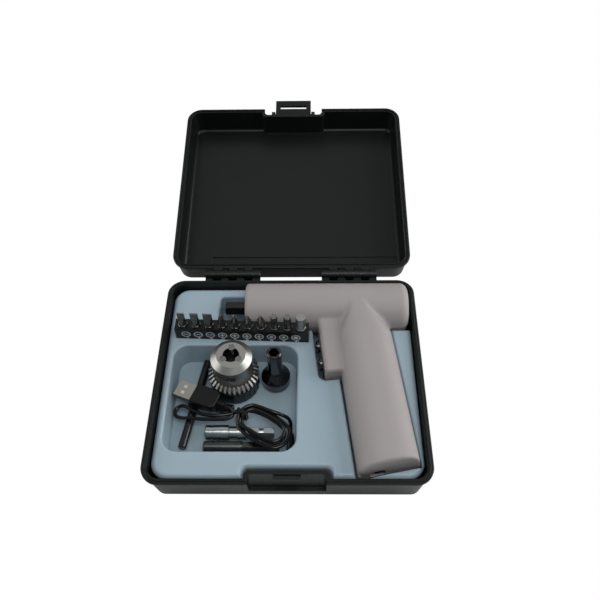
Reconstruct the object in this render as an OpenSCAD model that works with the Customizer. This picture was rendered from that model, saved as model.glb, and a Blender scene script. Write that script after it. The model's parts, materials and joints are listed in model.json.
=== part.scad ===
// Pocket drill-driver kit in its hinged case.
// Origin: middle of the case's underside. +X runs along the barrel to its back,
// +Y to the hinge, +Z up. The lid stands open.

/* [Case] */
// Width of the case over its rims
case_w = 180; // [176:1:190]
// Depth of the case over its rims, hinge side not counted
case_d = 158; // [156:1:166]
// Height of the base from its underside to the rim
base_h = 32; // [31:0.5:38]
// Radius of the rim's corners in plan
corner_r = 12; // [11.5:0.5:15]
// Wall thickness of base and lid
wall = 2.2; // [1.8:0.1:2.8]
// Thickness of the base's floor
floor_t = 2; // [1.6:0.1:2.4]
// Draft of the base's walls in degrees
base_draft = 8; // [5:0.5:9]
// How far both rim flanges stand proud of the walls
flange_out = 1.6; // [1:0.1:2.2]
// Height of each rim flange
flange_h = 3.4; // [2.6:0.1:4.4]
// Radius along the base's lower edge
base_edge_r = 5; // [3:0.5:7]

/* [Lid] */
// Clear depth inside the lid
lid_depth = 20.5; // [20:0.5:26]
// Draft of the lid's walls in degrees
lid_draft = 5; // [3:0.5:8]
// Radius along the lid's top edge
lid_edge_r = 4.5; // [3.5:0.5:6]
// How far the lid stands open, from closed
lid_open = 170.4; // [150:0.1:175]
// Gap between the closed rims
rim_gap = 0.3; // [0.2:0.05:0.5]
// Depth of the shallow step in the lid's panel over the barrel
lid_recess = 0.8; // [0.5:0.1:1.2]
// Height of the tongue on the base's rim
tongue_h = 0.8; // [0.5:0.1:1.2]
// Width of the tongue on the base's rim
tongue_w = 1; // [0.8:0.1:1.3]

/* [Hinge] */
// Distance of the hinge axis behind the rear rim
hinge_back = 5.6; // [5:0.1:7]
// Outer radius of the hinge knuckles
knuckle_r = 3.4; // [3:0.1:3.8]
// Radius of the hinge pins
hinge_pin_r = 1.25; // [1:0.05:1.5]
// Length of one group of knuckles
hinge_len = 40.8; // [36:0.4:44]
// Distance of each group's middle from the middle of the case
hinge_mid = 43.4; // [40:0.2:48]
// Number of knuckles in a group, an odd number
knuckles = 7; // [5:2:9]
// Side gap between two knuckles
knuckle_gap = 0.4; // [0.3:0.05:0.6]
// Radial clearance of a pin in its knuckles
pin_fit = 0.06; // [0.03:0.01:0.1]

/* [Latch] */
// Width of the latch plate
latch_w = 30; // [26:0.5:34]
// Length of the latch plate from its axis
latch_len = 15; // [14:0.5:16]
// Thickness of the latch plate
latch_t = 2.4; // [2:0.1:2.6]
// Width of the notches that the latch lies in
notch_w = 48.6; // [44:0.2:52]
// Depth of those notches behind the rim
notch_d = 6.7; // [6.4:0.1:7.5]
// Width of the slot in the latch
latch_slot_w = 22; // [20:0.5:24]
// Height of the slot in the latch
latch_slot_h = 3.6; // [3.4:0.1:4.2]
// Width of the catch that snaps into the slot
catch_w = 17; // [14:0.5:18]
// How far the catch stands proud
catch_out = 2.3; // [1.5:0.1:2.4]

/* [Tray] */
// Depth of the tray's top below the rim
tray_drop = 4; // [3.6:0.1:4.5]
// Wall thickness of the tray
tray_t = 1.6; // [1.2:0.1:2]
// Radius that the tray's outer edge is rolled over with
tray_roll = 3; // [2.4:0.1:3.4]
// Radius of the lips round the tray's recesses
tray_lip = 1.6; // [1:0.1:2]
// Gap between the tray and the base
tray_gap = 0.4; // [0.3:0.05:0.6]
// Height of the accessory pocket's floor above the case's underside
pocket_z = 7; // [6.5:0.1:7.5]
// Width of the accessory pocket at the top
pocket_w = 85.6; // [84:0.2:87]
// Depth of the accessory pocket at the top, front to back
pocket_d = 79.4; // [78:0.2:81]
// Radius of the accessory pocket's corners
pocket_r = 10; // [8:0.5:12]
// Draft of the accessory pocket's walls in degrees
pocket_draft = 3; // [2:0.5:4]
// Gap between the drill and its recess
recess_gap = 0.9; // [0.6:0.1:1.2]

/* [Drill] */
// Radius of the barrel
barrel_r = 18; // [17:0.1:18.2]
// Length of the barrel
barrel_len = 115.4; // [110:0.2:116]
// Height of the drill's middle plane above the case's underside
drill_z = 28.5; // [28:0.1:29.5]
// Width of the grip
grip_w = 38.8; // [36:0.2:40]
// Thickness of the grip across the parting plane
grip_t = 34; // [32:0.5:35]
// Length of the grip from its reference line to the end
grip_len = 69.4; // [64:0.2:70]
// Radius of the grip's long edges
grip_r = 13; // [10:0.5:14]
// Lean of the grip from square to the barrel, in degrees
grip_lean = 6.5; // [5:0.1:7]
// Wall thickness of the drill's housing
shell_t = 2.2; // [1.8:0.1:2.4]
// Reach of the switch block out of the grip's front
block_out = 11.3; // [10:0.1:11.6]
// Thickness of the switch block across the parting plane
block_t = 18; // [18:0.5:22]
// Across flats of the output spindle's hexagon
spindle_af = 9; // [8:0.1:10]
// Length of that hexagon outside the housing
spindle_len = 15.2; // [12:0.2:16]
// Radius of the spindle's journal
journal_r = 3; // [2.5:0.1:3.5]
// Radius of each push button
button_r = 4.5; // [4:0.1:5]
// Height of each button above its panel
button_out = 2.4; // [2:0.1:2.6]
// Travel of each button
button_travel = 1; // [0.6:0.1:1.1]
// Radius of the battery cell
cell_r = 9.2; // [8.8:0.1:9.3]
// Length of the battery cell
cell_len = 65; // [60:1:66]

/* [Bit rack] */
// Across flats of the hexagonal bits
bit_af = 6.35; // [6.3:0.05:6.4]
// Length of a bit
bit_len = 25; // [24:0.5:25]
// Number of bits
bit_count = 10; // [8:1:10]
// Distance from bit to bit
bit_pitch = 9.14; // [9:0.02:9.3]
// Clearance between a bit and its hole, on each side
bit_fit = 0.08; // [0.05:0.01:0.12]
// Height of the rack
rack_h = 13.2; // [12.8:0.1:13.4]
// Thickness of the rack, front to back
rack_t = 8.8; // [8.4:0.1:8.8]
// Depth of the shallow seat that the rack stands in
rack_seat = 2.2; // [1.6:0.1:2.6]

/* [Chuck] */
// Radius of the chuck's sleeve
sleeve_r = 17; // [16.5:0.1:17]
// Radius over the ring gear's teeth
ring_r = 17.5; // [17.2:0.1:17.6]
// Teeth on the ring gear
ring_teeth = 32; // [24:1:36]
// Radius of the chuck's nose
nose_r = 14; // [13.4:0.1:14.4]
// Overall height of the chuck with its jaws drawn in
chuck_h = 37.5; // [36.5:0.5:38]
// Radius of the hole in the chuck's nose
nose_bore_r = 5.6; // [5.2:0.1:6]
// Radius of the round jaws
jaw_r = 2.2; // [2:0.05:2.4]
// Length of a jaw
jaw_len = 22.5; // [21:0.5:23]
// Slant of a jaw from the chuck's axis, in degrees
jaw_slant = 12; // [11.5:0.5:12]
// Radius of the circle that the open jaws leave free
jaw_open_r = 3.8; // [3.4:0.1:3.9]

/* [Tools in the pocket] */
// Radius of the hexagon adapter's foot
adapter_r = 10; // [9:0.1:10.4]
// Height of the hexagon adapter
adapter_h = 37; // [34:0.5:39]
// Radius of the chuck key's cross bar
key_bar_r = 2.8; // [2.5:0.1:2.8]
// Length of the chuck key's cross bar
key_bar_len = 68; // [64:0.5:69]
// Radius of the chuck key's shaft
key_shaft_r = 3.9; // [3.6:0.1:4]
// Reach of the chuck key's shaft from the bar's axis
key_reach = 28; // [24:0.5:30]
// Teeth on the chuck key
key_teeth = 10; // [8:1:12]
// Radius of the bit holder's sleeve
holder_r = 5; // [4.6:0.1:5]
// Length of the bit holder's sleeve
holder_len = 28; // [26:0.5:29]
// Overall length of the bit holder
holder_total = 46; // [44:0.5:47]
// Overall length of the nut driver
driver_total = 50; // [48:0.5:52]
// Radius of the nut driver's socket head
driver_head_r = 3.7; // [3.4:0.1:3.9]

/* [Charging cable] */
// Diameter of the cable
cable_d = 2.5; // [2.2:0.1:2.6]
// Radius of the coil's outer turn at its round ends
coil_r = 10.8; // [10.5:0.1:11]
// Length of the straight run between the coil's round ends
coil_run = 15; // [14:0.5:16]
// Distance from turn to turn
coil_step = 3.1; // [3.05:0.05:3.2]

/* [Hidden] */
$fn = 48;
eps = 0.01;
rest_gap = 0.2;
play = 0.05;
black = [0.07, 0.08, 0.085];
steel = [0.72, 0.72, 0.73];
dark_steel = [0.2, 0.2, 0.22];
tray_blue = [0.55, 0.62, 0.72];
mauve = [0.42, 0.4, 0.46];

// ---- shared forms ------------------------------------------------------------------------------

// Points of an arc, from angle a0 to a1
function arc(cx, cy, r, a0, a1, n = 6) =
    [for (i = [0:n]) [cx + r * cos(a0 + (a1 - a0) * i / n), cy + r * sin(a0 + (a1 - a0) * i / n)]];

// Sweeps a section round a rectangle with round corners: x = r is the outline, y becomes height
module around(w, d, r) {
    for (turn = [0:3]) {
        along = turn % 2 == 0 ? d : w;
        across = turn % 2 == 0 ? w : d;
        rotate([0, 0, 90 * turn])
            translate([across / 2 - r, 0, 0])
                rotate([90, 0, 0])
                    linear_extrude(along - 2 * r, center = true)
                        children();
        rotate([0, 0, 90 * turn])
            translate([across / 2 - r, along / 2 - r, 0])
                rotate_extrude(angle = 90)
                    children();
    }
}

// Solid swept the same way, with its middle filled from z0 to z1
module swept_block(w, d, r, z0, z1) {
    around(w, d, r)
        children();
    translate([r - w / 2 - eps, r - d / 2 - eps, z0])
        cube([w - 2 * r + 2 * eps, d - 2 * r + 2 * eps, z1 - z0]);
}

// Flat outline of a rectangle with round corners, about its middle
module plate_2d(w, d, r) {
    square([w - 2 * r, d], center = true);
    square([w, d - 2 * r], center = true);
    for (x = [-1, 1], y = [-1, 1])
        translate([x * (w / 2 - r), y * (d / 2 - r)])
            circle(r);
}

// Block whose walls lean out with height, standing on z = 0; w and d hold at its top
module basin(w, d, r, h, lean) {
    swept_block(w, d, r, 0, h)
        polygon([[0, 0], [r - h * tan(lean), 0], [r, h], [0, h]]);
}

// Leaning block with its upper edge rolled over; w and d hold below the roll
module rolled(w, d, r, h, lean, roll) {
    swept_block(w, d, r, 0, h)
        polygon(concat([[0, 0], [r - (h - roll) * tan(lean), 0]], arc(r - roll, h - roll, roll, 0, 90, 4), [[0, h]]));
}

// Cutting block for a recess that ends in a rounded lip; w and d hold below the lip
module lipped(w, d, r, h, lean, lip) {
    swept_block(w, d, r, 0, h)
        polygon(concat([[0, 0], [r - (h - lip) * tan(lean), 0]], arc(r + lip, h - lip, lip, 180, 90, 4), [[0, h]]));
}

// Block with a rounded lower edge, standing on z = 0
module soft_block(w, d, r, h, edge) {
    swept_block(w, d, r, 0, h)
        polygon(concat([[0, 0]], arc(r - edge, edge, edge, -90, 0), [[r, h], [0, h]]));
}

// Rod along +X
module rod(r, len) {
    rotate([0, 90, 0])
        cylinder(r = r, h = len);
}

// Turned piece along +X from a profile of [x, radius] points
module turned_x(profile) {
    rotate([0, 90, 0])
        rotate_extrude()
            polygon(concat([[0, profile[0][0]]], [for (p = profile) [p[1], p[0]]],
                [[0, profile[len(profile) - 1][0]]]));
}

// Turned piece along +Z from a profile of [height, radius] points
module turned(profile) {
    rotate_extrude()
        polygon(concat([[0, profile[0][0]]], [for (p = profile) [p[1], p[0]]],
            [[0, profile[len(profile) - 1][0]]]));
}

// Hexagonal prism with flats facing +Y and -Y
module hex_rod(af, h) {
    cylinder(r = af / sqrt(3), h = h, $fn = 6);
}

// Hexagonal prism along +X with a flat facing +Z
module hex_rod_x(af, h) {
    rotate([0, 90, 0])
        rotate([0, 0, 90])
            hex_rod(af, h);
}

// One closed tube through a path of points
function unit(v) = v / norm(v);
function path_dir(p, i) = unit(p[min(i + 1, len(p) - 1)] - p[max(i - 1, 0)]);
module tube(path, d, sides) {
    n = len(path);
    points = [for (i = [0:n - 1])
        let (t = path_dir(path, i), s = unit(cross(t, [0, 0, 1])), u = cross(s, t))
        for (k = [0:sides - 1])
            path[i] + d / 2 * (cos(360 * k / sides) * s + sin(360 * k / sides) * u)];
    skin = [for (i = [0:n - 2], k = [0:sides - 1])
        let (a = i * sides + k, b = i * sides + (k + 1) % sides)
        each [[a, a + sides, b + sides], [a, b + sides, b]]];
    last = (n - 1) * sides;
    polyhedron(points, concat(skin,
        [for (k = [1:sides - 2]) [0, k, k + 1]],
        [for (k = [1:sides - 2]) [last, last + k + 1, last + k]]));
}

// Smooth curve through hand-set points, with n steps from one to the next
function curve_point(a, b, c, d, t) =
    0.5 * (2 * b + (c - a) * t + (2 * a - 5 * b + 4 * c - d) * t * t + (3 * b - a - 3 * c + d) * t * t * t);
function smooth(p, n) = concat(
    [for (i = [0:len(p) - 2], k = [0:n - 1])
        curve_point(p[max(i - 1, 0)], p[i], p[i + 1], p[min(i + 2, len(p) - 1)], k / n)],
    [p[len(p) - 1]]);

// ---- case --------------------------------------------------------------------------------------

front_y = -case_d / 2;
rear_y = case_d / 2;
wall_r = corner_r - flange_out;
lid_top = lid_depth + wall;
hinge_y = rear_y + hinge_back;
knuckle_step = hinge_len / knuckles;
notch_y = front_y + notch_d;
notch_low = base_h - 20;
latch_axis_y = notch_y - 2.4;
latch_axis_z = 3.4;
catch_z = base_h - 4.6;

// Height where the base's wall runs out into its lower edge, and the wall's place there
function base_x(z) = wall_r - (base_h - flange_h - z) * tan(base_draft);

module base_outer() {
    edge_x = base_x(base_edge_r) - base_edge_r;
    swept_block(case_w, case_d, corner_r, 0, base_h)
        polygon(concat([[0, 0]], arc(edge_x, base_edge_r, base_edge_r, -90, 0),
            [[wall_r, base_h - flange_h], [corner_r, base_h - flange_h + flange_out],
             [corner_r, base_h - 0.4], [corner_r - 0.4, base_h], [0, base_h]]));
}

module base_inner() {
    round_r = base_edge_r - wall;
    edge_x = base_x(base_edge_r) - wall - round_r;
    swept_block(case_w, case_d, corner_r, floor_t, base_h + 1)
        polygon(concat([[0, floor_t]], arc(edge_x, floor_t + round_r, round_r, -90, 0),
            [[wall_r - wall, base_h - flange_h], [wall_r - wall, base_h + 1], [0, base_h + 1]]));
}

// Upright block that a notch in the front is cut with; back grows it into its own wall
module notch_block(z0, z1, grow) {
    translate([0, front_y - 5, z0])
        linear_extrude(z1 - z0)
            translate([0, (notch_d + grow) / 2])
                plate_2d(notch_w + 2 * grow, notch_d + grow + 10, 3);
}

// Every second knuckle of both hinge groups
module knuckle_run(first) {
    for (side = [-1, 1], k = [first:2:knuckles - 1])
        translate([side * hinge_mid - hinge_len / 2 + k * knuckle_step + knuckle_gap / 2, 0, 0])
            children();
}

// One knuckle and the web to its wall, which lies below the axis, or above it when side = 1
module knuckle(side) {
    w = knuckle_step - knuckle_gap;
    reach = hinge_back + 0.6;
    web = knuckle_r - rim_gap;
    difference() {
        union() {
            rod(knuckle_r, w);
            translate([0, -reach, side > 0 ? rim_gap : -knuckle_r])
                cube([w, reach, web]);
        }
        translate([-1, 0, 0])
            rod(hinge_pin_r + pin_fit, w + 2);
    }
}

module hinge_pin(side) {
    color(steel)
        translate([side * hinge_mid - hinge_len / 2, hinge_y, base_h])
            rod(hinge_pin_r, hinge_len);
}

// Rim tongue that the closed lid drops over
module rim_tongue() {
    inner = wall_r - wall + 0.9;
    around(case_w, case_d, corner_r)
        translate([inner, base_h - 0.5])
            square([tongue_w, tongue_h + 0.5]);
}

module case_base() {
    color(black) {
        difference() {
            union() {
                difference() {
                    base_outer();
                    base_inner();
                }
                rim_tongue();
                intersection() {
                    notch_block(notch_low - wall, base_h, wall);
                    base_outer();
                }
                translate([-hinge_mid - hinge_len / 2 - 2, rear_y - flange_out - 0.6, base_h - flange_h - 3])
                    cube([2 * hinge_mid + hinge_len + 4, flange_out + 0.4, 3 + flange_h - 1]);
                for (x = [-62, -38, -14])
                    translate([x, -50, floor_t - 0.5])
                        cube([1.6, 70, tray_low - floor_t + 0.5]);
                for (x = [10, 40, 70])
                    translate([x, 40, floor_t - 0.5])
                        cube([1.6, 28, recess_z - tray_t - floor_t + 0.5]);
                translate([58, -50, floor_t - 0.5])
                    cube([14, 1.6, recess_z - tray_t - floor_t + 0.5]);
            }
            notch_block(notch_low, base_h + 5, 0);
        }
        translate([-catch_w / 2, notch_y, catch_z])
            rotate([90, 0, 90])
                linear_extrude(catch_w)
                    polygon([[0.5, -1.6], [0, -1.6], [-catch_out, 0.4], [-catch_out, 1.4], [0, 1.6], [0.5, 1.6]]);
        translate([0, hinge_y, base_h])
            knuckle_run(0)
                knuckle(-1);
    }
}

module lid_outer() {
    edge_x = wall_r - (lid_top - lid_edge_r - flange_h) * tan(lid_draft) - lid_edge_r;
    swept_block(case_w, case_d, corner_r, 0, lid_top)
        polygon(concat([[0, 0], [corner_r - 0.4, 0], [corner_r, 0.4], [corner_r, flange_h - flange_out],
            [wall_r, flange_h]], arc(edge_x, lid_top - lid_edge_r, lid_edge_r, 0, 90), [[0, lid_top]]));
}

module lid_inner() {
    round_r = lid_edge_r - wall;
    edge_x = wall_r - (lid_top - lid_edge_r - flange_h) * tan(lid_draft) - wall - round_r;
    swept_block(case_w, case_d, corner_r, -1, lid_depth)
        polygon(concat([[0, -1], [wall_r - wall, -1], [wall_r - wall, flange_h]],
            arc(edge_x, lid_depth - round_r, round_r, 0, 90), [[0, lid_depth]]));
}

// The lid as it lies closed, rim at z = 0
module lid_closed() {
    inner = wall_r - wall + 0.9;
    difference() {
        lid_outer();
        difference() {
            lid_inner();
            notch_block(-2, lid_top, wall);
        }
        notch_block(-2, lid_top + 2, 0);
        around(case_w, case_d, corner_r)
            translate([inner - 0.25, -1])
                square([tongue_w + 0.5, tongue_h + 1.1]);
        translate([-case_w / 2 + 27, rear_y - 22, lid_depth - 1])
            cube([case_w - 34, 22 - flange_out - wall - 4, 1 + lid_recess]);
    }
    for (x = [-latch_w / 2 - 3.4, latch_w / 2 + 0.4])
        difference() {
            translate([x, notch_y - 4.4, latch_axis_z - 2])
                cube([3, 5, 4]);
            translate([x - 1, latch_axis_y, latch_axis_z])
                rod(1 + pin_fit, 5);
        }
}

module case_lid() {
    color(black)
        translate([0, hinge_y, base_h])
            rotate([-lid_open, 0, 0]) {
                translate([0, -hinge_y, rim_gap])
                    lid_closed();
                knuckle_run(1)
                    knuckle(1);
            }
}

module latch() {
    color(black)
        translate([0, hinge_y, base_h])
            rotate([-lid_open, 0, 0])
                translate([0, latch_axis_y - hinge_y, rim_gap + latch_axis_z])
                    rotate([-90, 0, 0]) {
                        translate([-latch_w / 2 - 2.8, 0, 0])
                            rod(1, latch_w + 5.6);
                        translate([-latch_w / 2, 0, 0])
                            rod(1.7, latch_w);
                        difference() {
                            translate([-latch_w / 2, -0.9, -latch_len])
                                cube([latch_w, latch_t, latch_len]);
                            translate([-latch_slot_w / 2, -5, -5.8 - latch_slot_h])
                                cube([latch_slot_w, 10, latch_slot_h]);
                        }
                        translate([-latch_w / 2, -2, -latch_len])
                            cube([latch_w, 2, 1.6]);
                    }
}

// ---- tray --------------------------------------------------------------------------------------

tray_z = base_h - tray_drop;
tray_side = case_w / 2 - corner_r + base_x(tray_z - tray_roll) - wall - tray_gap;
tray_rear = case_d / 2 - corner_r + base_x(tray_z - tray_roll) - wall - tray_gap;
tray_front = -73;
tray_w = 2 * tray_side;
tray_d = tray_rear - tray_front;
tray_mid = [0, (tray_rear + tray_front) / 2];
tray_r = 11;
tray_notch_w = notch_w + 8.2;
tray_notch_y = -66;
tray_low = pocket_z - tray_t;
pocket_mid = [-37.35, -15.6];
recess_z = drill_z - barrel_r - rest_gap;
rack_z = tray_z - rack_seat;
rack_mid = [-33.15, 32.75];
rack_turn = -2.44;
rack_w = bit_pitch * (bit_count - 1) + 10.8;

barrel_x = -31.6;
barrel_y = 55.4;
grip_at = [54.95, 0];
block_low = 0.6;
block_len = 50;
block_r = 3;
end_turn = 4.9;

module at_grip() {
    translate([grip_at[0], grip_at[1], drill_z])
        rotate([0, 0, grip_lean])
            children();
}

// Plan of the walls round the drill's recess
module recess_walls() {
    g = recess_gap + tray_t;
    translate([barrel_x - g, barrel_y - barrel_r - g])
        square([150, 80]);
    translate([barrel_x - spindle_len - 3.4 - g, barrel_y - 11 - tray_t])
        square([spindle_len + 6, 22 + 2 * tray_t]);
    translate([grip_at[0], grip_at[1]])
        rotate([0, 0, grip_lean]) {
            translate([-grip_w / 2 - 1.4 - tray_t, -90])
                square([grip_w + 2.8 + 2 * tray_t, 136]);
            translate([-grip_w / 2 - block_out - 3.9 - tray_t, block_low - 1 - tray_t])
                square([30, 50]);
        }
}

// One lipped recess from its low corner and its sizes in plan
module recess(x, y, w, d, r, lip) {
    h = tray_z - recess_z;
    translate([x + w / 2, y + d / 2, recess_z]) {
        lipped(w, d, r, h + eps, 0, lip);
        translate([0, 0, h])
            swept_block(w + 2 * lip, d + 2 * lip, r + lip, 0, 20)
                square([r + lip, 20]);
    }
}

// All that the drill takes out of the tray
module drill_recess() {
    recess(barrel_x - recess_gap, barrel_y - barrel_r - recess_gap, 150, 80, 3, 0.8);
    recess(barrel_x - spindle_len - 3.4 - recess_gap, barrel_y - 11, spindle_len + 9, 22, 3, tray_lip);
    translate([grip_at[0], grip_at[1], 0])
        rotate([0, 0, grip_lean]) {
            difference() {
                recess(-grip_w / 2 - 1.4, -90, grip_w + 2.8, 136, 4, tray_lip);
                translate([0, -grip_len - 1.4, 0])
                    rotate([0, 0, end_turn])
                        translate([-60, -60, 0])
                            cube([120, 60, 80]);
            }
            recess(-grip_w / 2 - block_out - 3.9, block_low - 1, 30, 49, 5, tray_lip);
        }
}

// Cut for the case's latch notch in the tray's front
module tray_notch() {
    translate([0, tray_notch_y - 24, tray_low - 1])
        lipped(tray_notch_w, 48, 4, tray_z - tray_low + 1 + eps, 0, tray_roll);
}

module tray() {
    color(tray_blue)
        difference() {
            union() {
                difference() {
                    translate([tray_mid[0], tray_mid[1], tray_low])
                        rolled(tray_w, tray_d, tray_r, tray_z - tray_low, base_draft, tray_roll);
                    difference() {
                        translate([tray_mid[0], tray_mid[1], tray_low - 1])
                            basin(tray_w - 2 * tray_t, tray_d - 2 * tray_t, tray_r - tray_t,
                                tray_z - tray_low - tray_t + 1, base_draft);
                        translate([-tray_notch_w / 2 - tray_t, -90, 0])
                            cube([tray_notch_w + 2 * tray_t, 90 + tray_notch_y + tray_t, 60]);
                    }
                }
                translate([pocket_mid[0], pocket_mid[1], tray_low])
                    basin(pocket_w + 2 * tray_t, pocket_d + 2 * tray_t, pocket_r + tray_t,
                        tray_z - tray_low, pocket_draft);
                intersection() {
                    translate([tray_mid[0], tray_mid[1], tray_low])
                        rolled(tray_w, tray_d, tray_r, tray_z - tray_low, base_draft, tray_roll);
                    translate([0, 0, recess_z - tray_t])
                        linear_extrude(tray_z - recess_z + tray_t)
                            recess_walls();
                }
                translate([rack_mid[0], rack_mid[1], rack_z - tray_t])
                    rotate([0, 0, rack_turn])
                        linear_extrude(rack_seat + tray_t)
                            square([rack_w + 3, rack_t + 3], center = true);
            }
            translate([pocket_mid[0], pocket_mid[1], pocket_z])
                lipped(pocket_w, pocket_d, pocket_r, tray_z - pocket_z + eps, pocket_draft, tray_lip);
            drill_recess();
            tray_notch();
            translate([rack_mid[0], rack_mid[1], rack_z])
                rotate([0, 0, rack_turn])
                    linear_extrude(20)
                        square([rack_w + 0.4, rack_t + 0.4], center = true);
        }
}

// ---- drill -------------------------------------------------------------------------------------

motor_r = 13.8;
gearbox_r = 15;
gearbox_len = 30;
motor_len = 46;
cell_low = -60;
panel_x = -grip_w / 2 - block_out;
panel_t = 1.6;
panel_out = 0.8;
panel_low = 4;
panel_len = 30;
panel_half = 5.9;
button_y = [26, 12];
flange_t = 0.8;
button_back = panel_t - panel_out + 0.15 + flange_t;
switch_x = panel_x + button_back + button_travel + 0.2;
switch_h = 1.1;
screw_at = [[-13.4, -52], [13.4, -52], [-13.4, 12], [13.4, 12]];
screw_r = 1.25;
head_r = 2.6;
head_h = 2;
boss_r = 3;
boss_h = 12;
back_screw = [72, 55.4];
port_x = -7.2;

// The drill's whole body, moved in by depth for its inside
module drill_body(depth) {
    barrel_in = barrel_r - depth;
    translate([barrel_x + depth, barrel_y, drill_z])
        turned_x(concat(arc(2.2, barrel_in - 2.2, 2.2, 180, 90, 4),
            arc(barrel_len - 2 * depth - 5.5, barrel_in - 5.5, 5.5, 90, 0, 6)));
    at_grip() {
        difference() {
            translate([0, -grip_len - 2 + depth, 0])
                rotate([-90, 0, 0])
                    soft_block(grip_w - 2 * depth, grip_t - 2 * depth, grip_r - depth, 120, 2.6 - depth);
            translate([0, -grip_len + depth, 0])
                rotate([0, 0, end_turn])
                    translate([-60, -60, -60])
                        cube([120, 60, 120]);
        }
        translate([-grip_w / 2 - block_out / 2 + depth / 2 + 4, block_low + depth, 0])
            rotate([-90, 0, 0])
                soft_block(block_out + 8 - depth, block_t - 2 * depth, block_r - depth, block_len, 2.6 - depth);
    }
}

module at_screws() {
    at_grip()
        for (q = screw_at)
            translate([q[0], q[1], 0])
                children();
    translate([back_screw[0], back_screw[1], drill_z])
        children();
}

// Openings through the housing for nose, switch panel, charging port
module housing_openings() {
    translate([barrel_x - 1, barrel_y, drill_z])
        rod(6.5, 8);
    at_grip() {
        translate([panel_x - 1, panel_low, -panel_half])
            cube([shell_t + 2, panel_len, 2 * panel_half]);
        translate([port_x - 4.5, -grip_len - 2, -3])
            cube([9, shell_t + 3, 6]);
    }
}

// Ribs that hold motor, gearbox and cell, as rings round their axes
module housing_ribs() {
    translate([0, barrel_y, drill_z])
        for (x = [-24, 1])
            translate([x, 0, 0])
                difference() {
                    rod(barrel_r - 1, 1.6);
                    translate([-1, 0, 0])
                        rod(gearbox_r, 4);
                }
    translate([0, barrel_y, drill_z])
        for (x = [10, 44])
            translate([x, 0, 0])
                difference() {
                    rod(barrel_r - 1, 1.6);
                    translate([-1, 0, 0])
                        rod(motor_r, 4);
                }
    at_grip()
        for (y = [cell_low + 6, cell_low + cell_len - 8])
            translate([0, y, 0])
                rotate([-90, 0, 0])
                    difference() {
                        linear_extrude(1.6)
                            plate_2d(grip_w - 2 * shell_t + 1, grip_t - 2 * shell_t + 1, grip_r - shell_t);
                        translate([0, 0, -1])
                            cylinder(r = cell_r, h = 4);
                    }
}

module housing_half(side) {
    color(mauve)
        difference() {
            intersection() {
                union() {
                    difference() {
                        drill_body(0);
                        drill_body(shell_t);
                    }
                    housing_ribs();
                    at_grip()
                        for (q = screw_at)
                            translate([q[0], q[1], -boss_h])
                                cylinder(r = boss_r, h = 2 * boss_h);
                    translate([back_screw[0], back_screw[1], drill_z - barrel_r + 1.4])
                        cylinder(r = boss_r, h = 2 * barrel_r - 2.8);
                }
                translate([-60, -80, side > 0 ? drill_z : drill_z - 40])
                    cube([200, 180, 40]);
            }
            housing_openings();
            at_screws()
                translate([0, 0, -30])
                    cylinder(r = screw_r, h = 37);
            at_screws()
                translate([0, 0, -28])
                    cylinder(r = head_r + 0.1, h = 28 - 6);
        }
}

module housing_upper() {
    housing_half(1);
}

module housing_lower() {
    housing_half(-1);
}

module screw_part() {
    color(steel)
        difference() {
            union() {
                cylinder(r = screw_r, h = 13);
                translate([0, 0, -head_h])
                    cylinder(r = head_r, h = head_h);
            }
            for (a = [0, 90])
                rotate([0, 0, a])
                    translate([-1.6, -0.3, -head_h - 1])
                        cube([3.2, 0.6, 2]);
        }
}

module screw_n(i) {
    if (i < 4)
        at_grip()
            translate([screw_at[i][0], screw_at[i][1], -6])
                screw_part();
    else
        translate([back_screw[0], back_screw[1], drill_z - 6])
            screw_part();
}

module output_bearing() {
    color([0.7, 0.5, 0.3])
        translate([barrel_x - 0.6, barrel_y, drill_z])
            difference() {
                union() {
                    rod(6.5, 6);
                    rod(8, 0.6);
                }
                translate([-1, 0, 0])
                    rod(journal_r + play, 8);
            }
}

module spindle() {
    color(dark_steel)
        translate([barrel_x, barrel_y, drill_z]) {
            translate([-spindle_len, 0, 0])
                difference() {
                    intersection() {
                        hex_rod_x(spindle_af, spindle_len - 1);
                        turned_x([[0, spindle_af / 2 - 0.4], [1.2, spindle_af / 2 + 1.4],
                            [spindle_len, spindle_af / 2 + 1.4]]);
                    }
                    translate([-1, 0, 0])
                        rod(1.5, 8);
                }
            translate([-1.01, 0, 0])
                rod(journal_r, 12);
        }
}

module gearbox() {
    color([0.5, 0.5, 0.52])
        translate([barrel_x + 5.4, barrel_y, drill_z])
            difference() {
                union() {
                    rod(8, 2.4);
                    translate([2.4, 0, 0])
                        rod(gearbox_r, gearbox_len - 2.4);
                }
                translate([-1, 0, 0])
                    rod(journal_r + play, 8);
            }
}

module motor() {
    color([0.6, 0.6, 0.62])
        translate([barrel_x + 5.4 + gearbox_len, barrel_y, drill_z]) {
            rod(motor_r, motor_len);
            translate([motor_len, 0, 0])
                rod(4, 3);
        }
}

module battery_cell() {
    color([0.2, 0.4, 0.6])
        at_grip()
            translate([0, cell_low, 0])
                rotate([-90, 0, 0]) {
                    cylinder(r = cell_r, h = cell_len - 1);
                    cylinder(r = 3, h = cell_len);
                }
}

module control_board() {
    color([0.1, 0.35, 0.2])
        at_grip() {
            translate([-9, 9, -9])
                cube([18, 16, 1.6]);
            translate([-4, 12, -7.4])
                cube([8, 8, 1.5]);
            for (x = [-5, 5])
                translate([x, 17, -grip_t / 2 + shell_t])
                    cylinder(r = 1.2, h = grip_t / 2 - 9 - shell_t);
        }
}

module switch_board() {
    color([0.1, 0.35, 0.2])
        at_grip() {
            translate([switch_x + switch_h, panel_low + 1, -block_t / 2 + shell_t])
                cube([1.6, panel_len - 2, block_t - 2 * shell_t - 0.6]);
            for (y = button_y)
                translate([switch_x, y - 3, -3])
                    cube([switch_h, 6, 6]);
        }
}

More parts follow.
